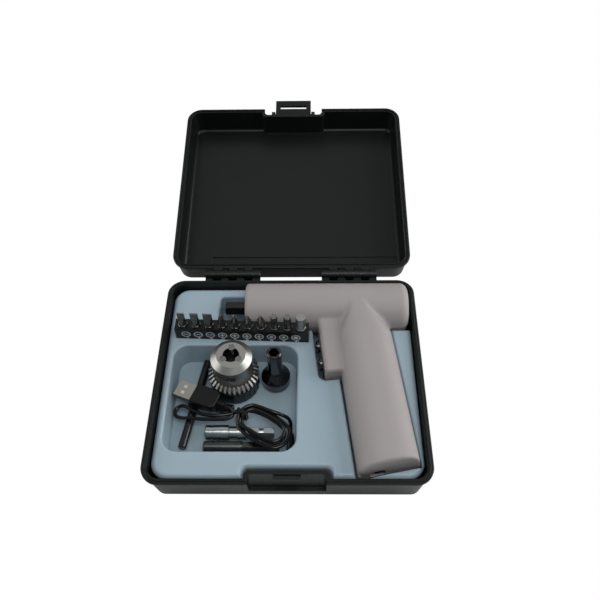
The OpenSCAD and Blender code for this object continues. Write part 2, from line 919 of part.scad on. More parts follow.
module charge_socket() {
    color(black)
        at_grip()
            translate([port_x, -grip_len, 0])
                difference() {
                    translate([-4.5, 0.4, -3])
                        cube([9, 6.4, 6]);
                    translate([0, -1, 0])
                        rotate([-90, 0, 0])
                            cylinder(r = 1.8, h = 6);
                }
}

module button_panel() {
    color(black)
        at_grip()
            difference() {
                union() {
                    translate([panel_x - panel_out, panel_low, -panel_half])
                        cube([panel_t, panel_len, 2 * panel_half]);
                    for (y = [panel_low, panel_low + panel_len - 2])
                        translate([panel_x - panel_out, y, -panel_half])
                            cube([shell_t + panel_out, 2, 2 * panel_half]);
                }
                for (y = button_y)
                    translate([panel_x - 4, y, 0])
                        rod(button_r + 0.15, 8);
            }
}

module button(i) {
    color(black)
        at_grip()
            translate([panel_x - panel_out - button_out, button_y[i], 0])
                turned_x([[0, button_r - 0.9], [0.9, button_r], [button_out + panel_t + 0.15, button_r],
                    [button_out + panel_t + 0.15, button_r + 0.7],
                    [button_out + panel_t + 0.15 + flange_t, button_r + 0.7]]);
}

module button_forward() {
    button(0);
}

module button_reverse() {
    button(1);
}

// ---- bit rack ----------------------------------------------------------------------------------

bit_low = rack_z + 0.7;
bit_type = ["slot", "slot", "slot", "cross", "cross", "cross", "cross", "star", "star", "hex"];
bit_size = [5, 5.6, 6.2, 4.4, 5, 5.6, 6, 4.6, 5.2, 6];
tip_r = bit_af / 2 - 0.2;

module at_bit(i) {
    translate([rack_mid[0], rack_mid[1], 0])
        rotate([0, 0, rack_turn])
            translate([bit_pitch * (i - (bit_count - 1) / 2), 0, 0])
                children();
}

module bit_rack() {
    color(black)
        difference() {
            translate([rack_mid[0], rack_mid[1], rack_z])
                rotate([0, 0, rack_turn])
                    rotate([90, 0, 0])
                        linear_extrude(rack_t, center = true)
                            polygon([[-rack_w / 2 + 2.5, 0], [rack_w / 2, 0], [rack_w / 2, rack_h],
                                [-rack_w / 2, rack_h], [-rack_w / 2, 2.5]]);
            for (i = [0:bit_count - 1])
                at_bit(i)
                    translate([0, 0, bit_low])
                        hex_rod(bit_af + 2 * bit_fit, 30);
        }
}

// Driver tips, standing on z = 0
module slot_tip(w, h) {
    intersection() {
        turned([[0, tip_r], [3, w / 2], [h, w / 2]]);
        rotate([0, -90, 0])
            linear_extrude(8, center = true)
                polygon([[0, -tip_r], [h, -0.45], [h, 0.45], [0, tip_r]]);
    }
}

module cross_tip(w, h) {
    intersection() {
        turned([[0, tip_r], [h - 6, w / 2], [h - 1, 1], [h, 0.5]]);
        union() {
            for (a = [0, 90])
                rotate([0, 0, a])
                    translate([-4, -0.8, 0])
                        cube([8, 1.6, h]);
            turned([[0, tip_r], [2, tip_r - 0.6], [h - 2, 0.8]]);
        }
    }
}

module star_tip(w, h) {
    turned([[0, tip_r], [3, w / 2 - 0.3], [h, w / 2 - 0.6]]);
    for (a = [0:60:300])
        rotate([0, 0, a])
            translate([w / 2 - 0.65, 0, 1])
                cylinder(r = 0.65, h = h - 1);
}

module driver_bit(i) {
    shank = rack_h + 0.4;
    tip_h = bit_len - shank - 1.4;
    color(i == bit_count - 1 ? steel : dark_steel)
        at_bit(i)
            translate([0, 0, bit_low]) {
                intersection() {
                    hex_rod(bit_af, shank);
                    turned([[0, bit_af / 2], [0.6, bit_af / 2 + 0.6], [shank - 0.7, bit_af / 2 + 0.6],
                        [shank, bit_af / 2]]);
                }
                cylinder(r = tip_r, h = shank + 1.4);
                translate([0, 0, shank + 1.4]) {
                    if (bit_type[i] == "slot")
                        slot_tip(bit_size[i], tip_h);
                    if (bit_type[i] == "cross")
                        cross_tip(bit_size[i], tip_h);
                    if (bit_type[i] == "star")
                        star_tip(bit_size[i], tip_h);
                    if (bit_type[i] == "hex")
                        hex_rod(bit_size[i], tip_h);
                }
            }
}

// ---- chuck -------------------------------------------------------------------------------------

chuck_at = [-38.2, 5.4];
chuck_z = pocket_z + rest_gap;
core_r = 13.4;
nut_r = 15.2;
nut_z = 13;
ring_z = 13.2;
ring_h = 4.4;
jaw_top_r = jaw_open_r + jaw_r;

module at_chuck() {
    translate([chuck_at[0], chuck_at[1], chuck_z])
        children();
}

// Frame of jaw i: its own axis, its outer end at z = 0
module at_jaw(i) {
    rotate([0, 0, 120 * i + 90])
        translate([jaw_top_r, 0, chuck_h])
            rotate([0, -jaw_slant, 0])
                children();
}

module chuck_body() {
    color(steel)
        at_chuck()
            difference() {
                turned([[0, core_r - 0.6], [0.6, core_r], [nut_z, core_r], [nut_z, core_r - 0.8],
                    [ring_z + ring_h - 0.8, core_r - 0.8], [ring_z + ring_h - 0.8, core_r],
                    [ring_z + ring_h + 0.6, core_r], [ring_z + ring_h + 2, nose_r - 1],
                    [chuck_h - 11, nose_r], [chuck_h - 3.4, nose_r], [chuck_h, nose_r - 4.2]]);
                translate([0, 0, chuck_h - 14])
                    cylinder(r = nose_bore_r, h = 20);
                translate([0, 0, -1])
                    hex_rod(spindle_af + 0.2, 14);
                for (i = [0:2]) {
                    at_jaw(i)
                        translate([0, 0, -jaw_len - 1])
                            cylinder(r = jaw_r + play, h = jaw_len + 6);
                    rotate([0, 0, 120 * i + 30])
                        translate([nose_r - 5, 0, chuck_h - 9.5])
                            rod(3, 8);
                }
            }
}

module chuck_nut() {
    color(dark_steel)
        at_chuck()
            translate([0, 0, nut_z + 0.1])
                difference() {
                    cylinder(r = nut_r, h = 2.8);
                    translate([0, 0, -1])
                        cylinder(r = core_r + play, h = 6);
                }
}

module chuck_sleeve() {
    color(black)
        at_chuck()
            difference() {
                union() {
                    turned([[0, sleeve_r - 1], [1, sleeve_r - 0.4], [ring_z - 1, sleeve_r - 0.4],
                        [ring_z, sleeve_r - 1]]);
                    for (k = [0:23])
                        rotate([0, 0, 15 * k])
                            translate([sleeve_r - 1.2, -0.8, 1.6])
                                cube([1.2, 1.6, ring_z - 3.4]);
                }
                translate([0, 0, -1])
                    cylinder(r = core_r + play, h = 20);
                translate([0, 0, nut_z])
                    cylinder(r = nut_r, h = 4);
            }
}

module chuck_ring_gear() {
    color(steel)
        at_chuck()
            translate([0, 0, ring_z])
                difference() {
                    union() {
                        cylinder(r = ring_r - 0.4, h = ring_h - 2.2);
                        linear_extrude(ring_h)
                            polygon([for (k = [0:ring_teeth - 1]) each [
                                for (q = [[0.1, ring_r - 2], [0.3, ring_r], [0.7, ring_r], [0.9, ring_r - 2]])
                                    q[1] * [cos(360 * (k + q[0]) / ring_teeth), sin(360 * (k + q[0]) / ring_teeth)]]]);
                    }
                    translate([0, 0, -1])
                        cylinder(r = core_r + play, h = 20);
                    translate([0, 0, -1])
                        cylinder(r = nut_r, h = 3.9);
                }
}

module chuck_jaw(i) {
    color(steel)
        at_chuck()
            intersection() {
                at_jaw(i)
                    translate([0, 0, -jaw_len])
                        cylinder(r = jaw_r, h = jaw_len + 3);
                rotate([0, 0, 120 * i + 90])
                    translate([jaw_open_r, -20, 0])
                        cube([30, 40, chuck_h - 0.3]);
            }
}

// ---- tools in the pocket -----------------------------------------------------------------------

floor_z = pocket_z + rest_gap;
adapter_at = [-9.7, 7.5];
key_at = [-64.4, -12.4];
key_turn = -9.7;
key_z = floor_z + key_shaft_r;
holder_at = [-55.5, -35];
holder_z = floor_z + holder_r;
driver_at = [-56, -44.6];

module hex_adapter() {
    color(black)
        translate([adapter_at[0], adapter_at[1], floor_z])
            difference() {
                turned([[0, adapter_r - 0.8], [0.8, adapter_r], [8, adapter_r], [9, adapter_r - 0.6],
                    [14, 5.6], [16, 5], [adapter_h - 0.6, 5], [adapter_h, 4.4]]);
                translate([0, 0, -1])
                    hex_rod(spindle_af + 0.2, 9);
                translate([0, 0, adapter_h - 12])
                    hex_rod(bit_af + 0.1, 14);
            }
}

module at_key() {
    translate([key_at[0], key_at[1], key_z])
        rotate([0, 0, key_turn])
            children();
}

module key_shaft() {
    color(dark_steel)
        at_key()
            difference() {
                union() {
                    translate([-4.6, 0, 0])
                        turned_x([[0, key_shaft_r - 0.8], [0.8, key_shaft_r], [11, key_shaft_r],
                            [12, key_shaft_r - 0.7], [key_reach - 8, key_shaft_r - 0.7]]);
                    translate([key_reach - 13, 0, 0])
                        rotate([0, 90, 0])
                            linear_extrude(5.4)
                                polygon([for (k = [0:key_teeth - 1]) each [
                                    for (q = [[0, key_shaft_r - 1.2], [0.25, key_shaft_r],
                                            [0.6, key_shaft_r], [0.85, key_shaft_r - 1.2]])
                                        q[1] * [cos(360 * (k + q[0]) / key_teeth),
                                            sin(360 * (k + q[0]) / key_teeth)]]]);
                    translate([key_reach - 8, 0, 0])
                        turned_x([[0, 2.9], [6, 2.9], [7, 2.2]]);
                }
                translate([0, 20, 0])
                    rotate([90, 0, 0])
                        cylinder(r = key_bar_r, h = 40);
            }
}

module key_bar() {
    color(dark_steel)
        at_key()
            rotate([90, 0, 0])
                translate([0, 0, -key_bar_len / 2])
                    turned([[0, key_bar_r - 0.6], [0.6, key_bar_r], [key_bar_len - 0.6, key_bar_r],
                        [key_bar_len, key_bar_r - 0.6]]);
}

module holder_shank() {
    color(steel)
        translate([holder_at[0], holder_at[1], holder_z])
            difference() {
                union() {
                    turned_x([[0, holder_r - 1.3], [0.6, holder_r - 0.8], [holder_len - 6, holder_r - 0.8],
                        [holder_len - 6, holder_r - 0.2], [holder_len - 1, holder_r - 0.2],
                        [holder_len, holder_r - 1.4], [holder_len + 1, 3]]);
                    translate([holder_len, 0, 0])
                        difference() {
                            hex_rod_x(bit_af, holder_total - holder_len);
                            translate([holder_total - holder_len - 10, 0, 0])
                                difference() {
                                    rod(6, 3);
                                    translate([-1, 0, 0])
                                        rod(2.8, 5);
                                }
                        }
                }
                translate([-1, 0, 0])
                    hex_rod_x(bit_af + 0.1, 12);
            }
}

module holder_sleeve() {
    color(steel)
        translate([holder_at[0] + 0.4, holder_at[1], holder_z])
            difference() {
                turned_x([[0, holder_r - 0.4], [0.4, holder_r], [4, holder_r], [4, holder_r - 0.4],
                    [5, holder_r - 0.4], [5, holder_r], [15.6, holder_r], [16, holder_r - 0.4]]);
                translate([-1, 0, 0])
                    rod(holder_r - 0.8 + play, 20);
            }
}

module nut_driver() {
    color(dark_steel)
        translate([driver_at[0], driver_at[1], floor_z + driver_head_r])
            difference() {
                union() {
                    turned_x([[0, driver_head_r - 0.5], [0.5, driver_head_r], [7, driver_head_r],
                        [7, driver_head_r - 0.5], [8.4, driver_head_r - 0.5], [8.4, driver_head_r],
                        [25, driver_head_r], [26.5, 2.8]]);
                    translate([26, 0, 0])
                        hex_rod_x(bit_af, driver_total - 26);
                }
                translate([-1, 0, 0])
                    hex_rod_x(5.5, 9);
            }
}

// ---- charging cable ----------------------------------------------------------------------------

usb_at = [-56.5, -13.2];
usb_turn = -22;
usb_z = key_z + key_shaft_r + rest_gap;
plug_at = [1.2, -50.5];
plug_r = 2.6;
plug_z = floor_z + plug_r;
plug_back = [plug_at[0], plug_at[1] + 16, plug_z];
coil_mid = [-16.4, -34.4];
coil_turn = -32;
coil_z = 18.8;

module at_usb() {
    translate([usb_at[0], usb_at[1], usb_z])
        rotate([0, 0, usb_turn])
            children();
}

module usb_shell() {
    color(steel)
        at_usb()
            translate([-21.4, -6, 1.7])
                difference() {
                    cube([12.6, 12, 4.5]);
                    translate([-1, 0.4, 0.4])
                        cube([12.6, 11.2, 1.5]);
                    translate([-1, 0.4, 3.3])
                        cube([12.6, 11.2, 0.8]);
                    translate([-1, 0.4, 0.4])
                        cube([9.6, 0.6, 3.7]);
                    for (y = [2.6, 7.2])
                        translate([4.4, y, 3])
                            cube([2.2, 2.2, 3]);
                }
}

module usb_body() {
    color(black)
        at_usb() {
            translate([-8.8, 0, 0])
                linear_extrude(7.8)
                    polygon([[0, -7], [1, -8], [14, -6.6], [18, -4], [18, 4], [14, 6.6], [1, 8], [0, 7]]);
            translate([9.1, 0, 3.9])
                turned_x([[0, 3], [5, 2]]);
        }
}

lead_route = [
    [-43.43, -18.48, usb_z + 3.9], [-40.2, -19.9, 19.2], [-37.2, -22.2, 19.6], [-37.6, -26.4, 19.2],
    [-41.6, -28.2, 18.6], [-48, -28.2, 18], [-57, -27.6, 17], [-66, -26.3, 15.8],
    [-72, -25.4, 14.4], [-76.4, -23, 13], [-77.2, -19, 12.6], [-74.6, -16.2, 13.4],
    [-70, -17.4, 15.6], [-64, -20.8, 16], [-56, -24, 16], [-46, -24.2, 16],
    [-39, -22.8, 15.6], [-33.5, -20.9, 16.2], [-29, -20.4, 17.4]
];
tail_route = [
    [-9.5, -24.9, 21.7], [-4.8, -26, 20.2], [-0.8, -26.6, 17], [1.1, -28, 13.2], [1.2, -31, 10.4]
];

// Winding of the coil: turn count u gives angle, radius and height
turns = 3.083;
shift = 0.12;
function ramp(u, a) = min(1, max(0, (u - a) / shift));
function soft_step(t) = t * t * (3 - 2 * t);
function turn_r(u) = coil_r - coil_step * (soft_step(ramp(u, 1 - shift)) - soft_step(ramp(u, 3 - 3 * shift)));
function turn_z(u) = coil_z + coil_step * soft_step(ramp(u, 2 - 2 * shift));
function coil_point(u) =
    let (a = 130 - 360 * u, r = turn_r(u), x = r * cos(a) + coil_run / 2 * min(1, max(-1, 1.6 * cos(a))),
        y = r * sin(a))
    [coil_mid[0] + x * cos(coil_turn) - y * sin(coil_turn),
        coil_mid[1] + x * sin(coil_turn) + y * cos(coil_turn), turn_z(u)];
coil_rings = round(24 * turns);
coil_path = [for (i = [0:coil_rings]) coil_point(turns * i / coil_rings)];

// Least gap between the coil's own turns, from its points
coil_gap = min([for (i = [0:coil_rings], j = [0:coil_rings])
    if (abs(i - j) > 6) norm(coil_path[i] - coil_path[j])]) - cable_d;
echo(coil_gap = coil_gap, coil_start = coil_path[0], coil_end = coil_path[coil_rings]);

module cable_lead() {
    color(black)
        tube(smooth(concat(lead_route, [coil_path[0]]), 3), cable_d, 8);
}

module cable_coil() {
    color(black)
        tube(coil_path, cable_d, 6);
}

module cable_tail() {
    color(black)
        tube(smooth(concat([coil_path[coil_rings]], tail_route, [plug_back]), 3), cable_d, 8);
}

module charge_plug_body() {
    color(black)
        translate([plug_at[0], plug_at[1] + 4, plug_z])
            rotate([-90, 0, 0])
                turned([[0, plug_r], [9, plug_r], [12, 1.8]]);
}

module charge_plug_tip() {
    color(steel)
        translate([plug_at[0], plug_at[1], plug_z])
            rotate([-90, 0, 0])
                difference() {
                    cylinder(r = 1.7, h = 4);
                    translate([0, 0, -1])
                        cylinder(r = 0.8, h = 4);
                }
}

module cable_tie() {
    color(black)
        translate([coil_mid[0], coil_mid[1], coil_z + coil_step / 2])
            rotate([0, 0, coil_turn])
                translate([-coil_run / 2 - coil_r + coil_step / 2, 0, 0])
                    rotate([90, 0, 0])
                        linear_extrude(2.6, center = true)
                            difference() {
                                square([coil_step + cable_d + 2.2, coil_step + cable_d + 2.2], center = true);
                                square([coil_step + cable_d + 0.2, coil_step + cable_d + 0.2], center = true);
                            }
}

case_base();
case_lid();
hinge_pin(-1);  // hinge_pin_left
hinge_pin(1);  // hinge_pin_right
latch();
tray();
housing_upper();
housing_lower();
screw_n(0);  // screw_1
screw_n(1);  // screw_2
screw_n(2);  // screw_3
screw_n(3);  // screw_4
screw_n(4);  // screw_5
output_bearing();
spindle();
gearbox();
motor();
battery_cell();
control_board();
switch_board();
charge_socket();
button_panel();
button_forward();
button_reverse();
bit_rack();
driver_bit(0);  // bit_01
driver_bit(1);  // bit_02
driver_bit(2);  // bit_03
driver_bit(3);  // bit_04
driver_bit(4);  // bit_05
driver_bit(5);  // bit_06
driver_bit(6);  // bit_07
driver_bit(7);  // bit_08
driver_bit(8);  // bit_09
driver_bit(9);  // bit_10
chuck_body();
chuck_nut();
chuck_sleeve();
chuck_ring_gear();
chuck_jaw(0);  // chuck_jaw_1
chuck_jaw(1);  // chuck_jaw_2
chuck_jaw(2);  // chuck_jaw_3
hex_adapter();
key_shaft();
key_bar();
holder_shank();
holder_sleeve();
nut_driver();
usb_shell();
usb_body();
cable_lead();
cable_coil();
cable_tail();
charge_plug_body();
charge_plug_tip();
cable_tie();
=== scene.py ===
"""Looks of the cordless drill kit: materials, fine pieces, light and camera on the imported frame."""

from __future__ import annotations

import json
import logging
import math
from dataclasses import dataclass
from enum import Enum
from typing import Iterable, Sequence

import bmesh
import bpy
import numpy as np
from mathutils import Matrix, Vector

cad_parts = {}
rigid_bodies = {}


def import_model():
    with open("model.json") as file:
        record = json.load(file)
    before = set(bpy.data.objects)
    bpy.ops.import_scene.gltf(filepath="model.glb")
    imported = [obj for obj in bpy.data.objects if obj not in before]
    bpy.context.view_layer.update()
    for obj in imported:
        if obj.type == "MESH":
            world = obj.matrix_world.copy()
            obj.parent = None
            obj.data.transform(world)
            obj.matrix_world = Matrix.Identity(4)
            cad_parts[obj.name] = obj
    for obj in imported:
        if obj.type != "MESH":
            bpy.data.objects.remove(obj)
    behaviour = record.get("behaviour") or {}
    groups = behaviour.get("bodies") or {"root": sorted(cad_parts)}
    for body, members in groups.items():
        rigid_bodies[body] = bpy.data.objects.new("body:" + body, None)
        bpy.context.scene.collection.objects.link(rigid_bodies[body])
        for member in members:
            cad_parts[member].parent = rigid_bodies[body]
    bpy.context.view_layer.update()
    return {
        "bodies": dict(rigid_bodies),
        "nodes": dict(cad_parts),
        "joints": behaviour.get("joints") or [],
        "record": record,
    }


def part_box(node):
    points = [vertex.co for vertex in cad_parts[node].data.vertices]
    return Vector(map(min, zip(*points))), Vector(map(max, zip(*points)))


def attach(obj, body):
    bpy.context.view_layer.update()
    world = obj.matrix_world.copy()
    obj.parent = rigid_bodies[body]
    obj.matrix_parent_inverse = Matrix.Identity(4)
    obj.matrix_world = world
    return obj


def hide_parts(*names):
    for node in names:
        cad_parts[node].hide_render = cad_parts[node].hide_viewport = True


LOG = logging.getLogger("drill_kit")
MM = 0.001
LEAST_RATIO = 1e-3
MERGE_DISTANCE = 1e-6
ALONG_X = Matrix.Rotation(math.radians(90), 4, "Y")
Point = tuple[float, float, float]
Flat = tuple[float, float]


class Finish(Enum):
    CASE = "case_black"
    TRAY = "tray_blue_grey"
    DRILL = "drill_mauve_grey"
    GLOSS = "black_gloss"
    SOFT = "black_soft"
    BRIGHT = "bright_steel"
    DARK = "dark_steel"
    CHROME = "chrome"
    SHEATH = "cord_sheath"
    OXIDE = "blued_steel"
    BRONZE = "bronze"
    CELL = "cell_wrap"
    BOARD = "board_green"
    # Black of the key and the spindle, also used as painted shade inside the chuck's bores.
    INK = "black_oxide_and_painted_bore_shade"
    PLATED = "plated_steel"
    PRINT = "print_white"


@dataclass(frozen=True)
class Surface:
    """Numbers of one finish.

    Attributes:
        color: Linear base colour.
        rough: Mean roughness.
        metallic: 1 for bare metal.
        grain_mm: Size of the fine grain in millimetres.
        bump: Strength of the grain's relief.
        spread: How much roughness varies over the surface.
        tint: How much the colour varies over the surface.
        edge_mm: Radius that edges are softened by in shading.
        brushed: Stretch of the grain along one axis, 1 for none.
        coat: Strength of a clear gloss over the base.
        coat_rough: Roughness of that gloss.
        specular: Level of the dielectric's reflection.
    """

    color: Point
    rough: float
    metallic: float = 0.0
    grain_mm: float = 0.6
    bump: float = 0.1
    spread: float = 0.08
    tint: float = 0.06
    edge_mm: float = 0.35
    brushed: float = 1.0
    coat: float = 0.0
    coat_rough: float = 0.05
    specular: float = 0.5


SURFACES: dict[Finish, Surface] = {
    Finish.CASE: Surface(
        (0.0034, 0.005, 0.0042), 0.38, grain_mm=0.5, bump=0.1, spread=0.03, edge_mm=0.5, specular=0.34),
    Finish.TRAY: Surface((0.315, 0.415, 0.475), 0.38, grain_mm=0.9, bump=0.04, tint=0.04, edge_mm=0.6),
    Finish.DRILL: Surface((0.315, 0.29, 0.284), 0.62, grain_mm=0.35, bump=0.1, tint=0.05, edge_mm=0.5),
    Finish.GLOSS: Surface((0.004, 0.004, 0.005), 0.1, grain_mm=2.0, bump=0.01, coat=0.5, edge_mm=0.3),
    Finish.SOFT: Surface(
        (0.004, 0.0042, 0.0042), 0.3, grain_mm=0.4, bump=0.06, edge_mm=0.3, specular=0.28),
    Finish.INK: Surface((0.004, 0.004, 0.0045), 0.3, grain_mm=0.4, bump=0.05, edge_mm=0.25),
    Finish.BRIGHT: Surface(
        (0.4, 0.395, 0.375), 0.38, metallic=1.0, grain_mm=0.25, bump=0.05, brushed=8.0, edge_mm=0.2),
    Finish.PLATED: Surface((0.4, 0.385, 0.34), 0.32, metallic=1.0, grain_mm=0.4, bump=0.03, edge_mm=0.2),
    Finish.DARK: Surface(
        (0.24, 0.235, 0.22), 0.24, metallic=1.0, grain_mm=0.3, bump=0.08, tint=0.2, edge_mm=0.18),
    Finish.CHROME: Surface((0.42, 0.455, 0.455), 0.2, metallic=1.0, grain_mm=0.4, bump=0.04, edge_mm=0.2),
    Finish.SHEATH: Surface(
        (0.004, 0.0042, 0.0042), 0.16, grain_mm=0.6, bump=0.02, edge_mm=0.0, specular=0.45),
    Finish.OXIDE: Surface((0.085, 0.09, 0.085), 0.28, metallic=1.0, grain_mm=0.3, bump=0.06, edge_mm=0.18),
    Finish.BRONZE: Surface((0.5, 0.33, 0.16), 0.4, metallic=1.0, grain_mm=0.3),
    Finish.CELL: Surface((0.05, 0.12, 0.3), 0.25, coat=0.3),
    Finish.BOARD: Surface((0.02, 0.14, 0.06), 0.35),
    Finish.PRINT: Surface((0.62, 0.64, 0.64), 0.55, bump=0.02, edge_mm=0.0),
}

NODE_FINISH: dict[Finish, Sequence[str]] = {
    Finish.CASE: ("case_base", "case_lid", "latch"),
    Finish.TRAY: ("tray",),
    Finish.DRILL: ("housing_upper", "housing_lower"),
    Finish.GLOSS: ("button_panel", "button_forward", "button_reverse", "charge_socket", "hex_adapter"),
    Finish.SOFT: (
        "bit_rack", "chuck_sleeve", "usb_body", "cable_lead", "cable_coil", "cable_tail",
        "charge_plug_body", "cable_tie",
    ),
    Finish.BRIGHT: (
        "hinge_pin_left", "hinge_pin_right", "gearbox", "motor", "chuck_body", "chuck_ring_gear",
        "charge_plug_tip", "bit_10",
    ),
    Finish.CHROME: ("holder_shank", "holder_sleeve"),
    Finish.PLATED: ("usb_shell",),
    Finish.INK: ("key_shaft", "key_bar", "spindle"),
    Finish.DARK: (
        "chuck_nut", *(f"chuck_jaw_{number}" for number in range(1, 4)),
        *(f"screw_{number}" for number in range(1, 6)), *(f"bit_{number:02d}" for number in range(1, 10)),
    ),
    Finish.OXIDE: ("nut_driver",),
    Finish.BRONZE: ("output_bearing",),
    Finish.CELL: ("battery_cell",),
    Finish.BOARD: ("control_board", "switch_board"),
}


class NodeTree:
    """Small helper that places and links nodes in one tree."""

    def __init__(self, tree: bpy.types.NodeTree) -> None:
        """Wraps a tree.

        Args:
            tree: The node tree that nodes are added to.
        """
        self.tree = tree
        self._column = 0

    def add(self, kind: str, **values: object) -> bpy.types.Node:
        """Adds a node and sets properties or input defaults by name.

        Args:
            kind: Blender's node type.
            **values: Property names, or input names with spaces as underscores.

        Returns:
            The new node.
        """
        node = self.tree.nodes.new(kind)
        node.location = (self._column * 180, -((self._column * 37) % 300))
        self._column += 1
        for key, value in values.items():
            name = key.replace("_", " ")
            if hasattr(node, key) and key not in node.inputs:
                setattr(node, key, value)
                continue
            for socket in node.inputs:
                if socket.name in (name, key):
                    socket.default_value = value
                    break
            else:
                raise KeyError(f"{kind} has no {key}")
        return node

    def calculate(self, operation: str, *values: bpy.types.NodeSocket | float) -> bpy.types.NodeSocket:
        """Adds a math node.

        Args:
            operation: What it does.
            *values: Its inputs, each a socket to link or a number.

        Returns:
            Its output socket.
        """
        node = self.add("ShaderNodeMath", operation=operation)
        for socket, value in zip(node.inputs, values):
            if isinstance(value, bpy.types.NodeSocket):
                self.link(value, socket)
            else:
                socket.default_value = value
        return node.outputs[0]

    def link(self, source: bpy.types.NodeSocket, target: bpy.types.NodeSocket) -> None:
        """Links two sockets.

        Args:
            source: Output socket.
            target: Input socket.
        """
        self.tree.links.new(source, target)


@dataclass(frozen=True)
class Grain:
    """Shared group that turns object coordinates into grain relief and wear.

    Attributes:
        cloud_scale: Scale of the slow variation.
        cloud_detail: Its detail.
        cloud_rough: Its roughness.
        fine_detail: Detail of the fine grain.
        fine_rough: Roughness of the fine grain.
        relief: Height of the grain's relief in metres.
        edge_samples: Samples of the softened edges.
    """

    cloud_scale: float = 42.0
    cloud_detail: float = 4.0
    cloud_rough: float = 0.55
    fine_detail: float = 3.0
    fine_rough: float = 0.6
    relief: float = 0.0004
    edge_samples: int = 4

    def build(self) -> bpy.types.NodeTree:
        """Makes the group.

        Returns:
            A node group with inputs Size, Stretch, Relief, Edge and outputs Normal, Cloud and Fine.
        """
        group = bpy.data.node_groups.new("surface_grain", "ShaderNodeTree")
        face = group.interface
        for name in ("Size", "Stretch", "Relief", "Edge"):
            face.new_socket(name=name, in_out="INPUT", socket_type="NodeSocketFloat")
        face.new_socket(name="Normal", in_out="OUTPUT", socket_type="NodeSocketVector")
        face.new_socket(name="Cloud", in_out="OUTPUT", socket_type="NodeSocketFloat")
        face.new_socket(name="Fine", in_out="OUTPUT", socket_type="NodeSocketFloat")
        tree = NodeTree(group)
        inlet = tree.add("NodeGroupInput")
        outlet = tree.add("NodeGroupOutput")
        coords = tree.add("ShaderNodeTexCoord")
        scale = tree.calculate("DIVIDE", 1.0, tree.calculate("MULTIPLY", inlet.outputs["Size"], MM))
        stretch = tree.add("ShaderNodeCombineXYZ", X=1.0, Y=1.0)
        tree.link(inlet.outputs["Stretch"], stretch.inputs["Z"])
        shaped = tree.add("ShaderNodeVectorMath", operation="MULTIPLY")
        tree.link(coords.outputs["Object"], shaped.inputs[0])
        tree.link(stretch.outputs[0], shaped.inputs[1])
        fine = tree.add("ShaderNodeTexNoise", Detail=self.fine_detail, Roughness=self.fine_rough)
        tree.link(shaped.outputs[0], fine.inputs["Vector"])
        tree.link(scale, fine.inputs["Scale"])
        cloud = tree.add(
            "ShaderNodeTexNoise", Scale=self.cloud_scale, Detail=self.cloud_detail,
            Roughness=self.cloud_rough)
        tree.link(coords.outputs["Object"], cloud.inputs["Vector"])
        bevel = tree.add("ShaderNodeBevel", samples=self.edge_samples)
        tree.link(tree.calculate("MULTIPLY", inlet.outputs["Edge"], MM), bevel.inputs["Radius"])
        bump = tree.add("ShaderNodeBump", Distance=self.relief)
        tree.link(inlet.outputs["Relief"], bump.inputs["Strength"])
        tree.link(fine.outputs[0], bump.inputs["Height"])
        tree.link(bevel.outputs[0], bump.inputs["Normal"])
        tree.link(bump.outputs[0], outlet.inputs["Normal"])
        tree.link(cloud.outputs[0], outlet.inputs["Cloud"])
        tree.link(fine.outputs[0], outlet.inputs["Fine"])
        return group


class MaterialLibrary:
    """Builds each finish once and hands it out.

    Attributes:
        CLOUD: Band of the slow variation that roughness is spread over.
        LEAST_ROUGH: Roughness that no finish goes below.
    """

    CLOUD = (0.3, 0.7)
    LEAST_ROUGH = 0.02

    def __init__(self) -> None:
        """Makes the shared grain group; materials are made on first use."""
        self._group = Grain().build()
        self._made: dict[Finish, bpy.types.Material] = {}

    def get(self, finish: Finish) -> bpy.types.Material:
        """Returns the material of a finish, making it on first use.

        Args:
            finish: Which finish.

        Returns:
            The material.
        """
        if finish not in self._made:
            self._made[finish] = self._build(finish.value, SURFACES[finish])
        return self._made[finish]

    def _build(self, name: str, look: Surface) -> bpy.types.Material:
        """Builds one material from its numbers.

        Args:
            name: Material name.
            look: The finish's numbers.

        Returns:
            The new material.
        """
        material = bpy.data.materials.new(name)
        material.use_nodes = True
        material.node_tree.nodes.clear()
        tree = NodeTree(material.node_tree)
        out = tree.add("ShaderNodeOutputMaterial")
        shader = tree.add(
            "ShaderNodeBsdfPrincipled", Metallic=look.metallic, Specular_IOR_Level=look.specular,
            Coat_Weight=look.coat, Coat_Roughness=look.coat_rough)
        tree.link(shader.outputs[0], out.inputs["Surface"])
        grain = tree.add("ShaderNodeGroup")
        grain.node_tree = self._group
        grain.inputs["Size"].default_value = look.grain_mm
        grain.inputs["Stretch"].default_value = look.brushed
        grain.inputs["Relief"].default_value = look.bump
        grain.inputs["Edge"].default_value = look.edge_mm
        tree.link(grain.outputs["Normal"], shader.inputs["Normal"])
        rough = tree.add(
            "ShaderNodeMapRange", From_Min=self.CLOUD[0], From_Max=self.CLOUD[1],
            To_Min=max(self.LEAST_ROUGH, look.rough - look.spread),
            To_Max=min(1.0, look.rough + look.spread))
        tree.link(grain.outputs["Cloud"], rough.inputs["Value"])
        tree.link(rough.outputs[0], shader.inputs["Roughness"])
        color = tree.add("ShaderNodeMix", data_type="RGBA")
        share, low, high = (
            next(s for s in color.inputs if s.identifier == name)
            for name in ("Factor_Float", "A_Color", "B_Color")
        )
        low.default_value = (*(c * (1 - look.tint) for c in look.color), 1.0)
        high.default_value = (*(min(1.0, c * (1 + look.tint)) for c in look.color), 1.0)
        tree.link(grain.outputs["Cloud"], share)
        mixed = next(s for s in color.outputs if s.identifier == "Result_Color")
        tree.link(mixed, shader.inputs["Base Color"])
        material.diffuse_color = (*look.color, 1.0)
        return material


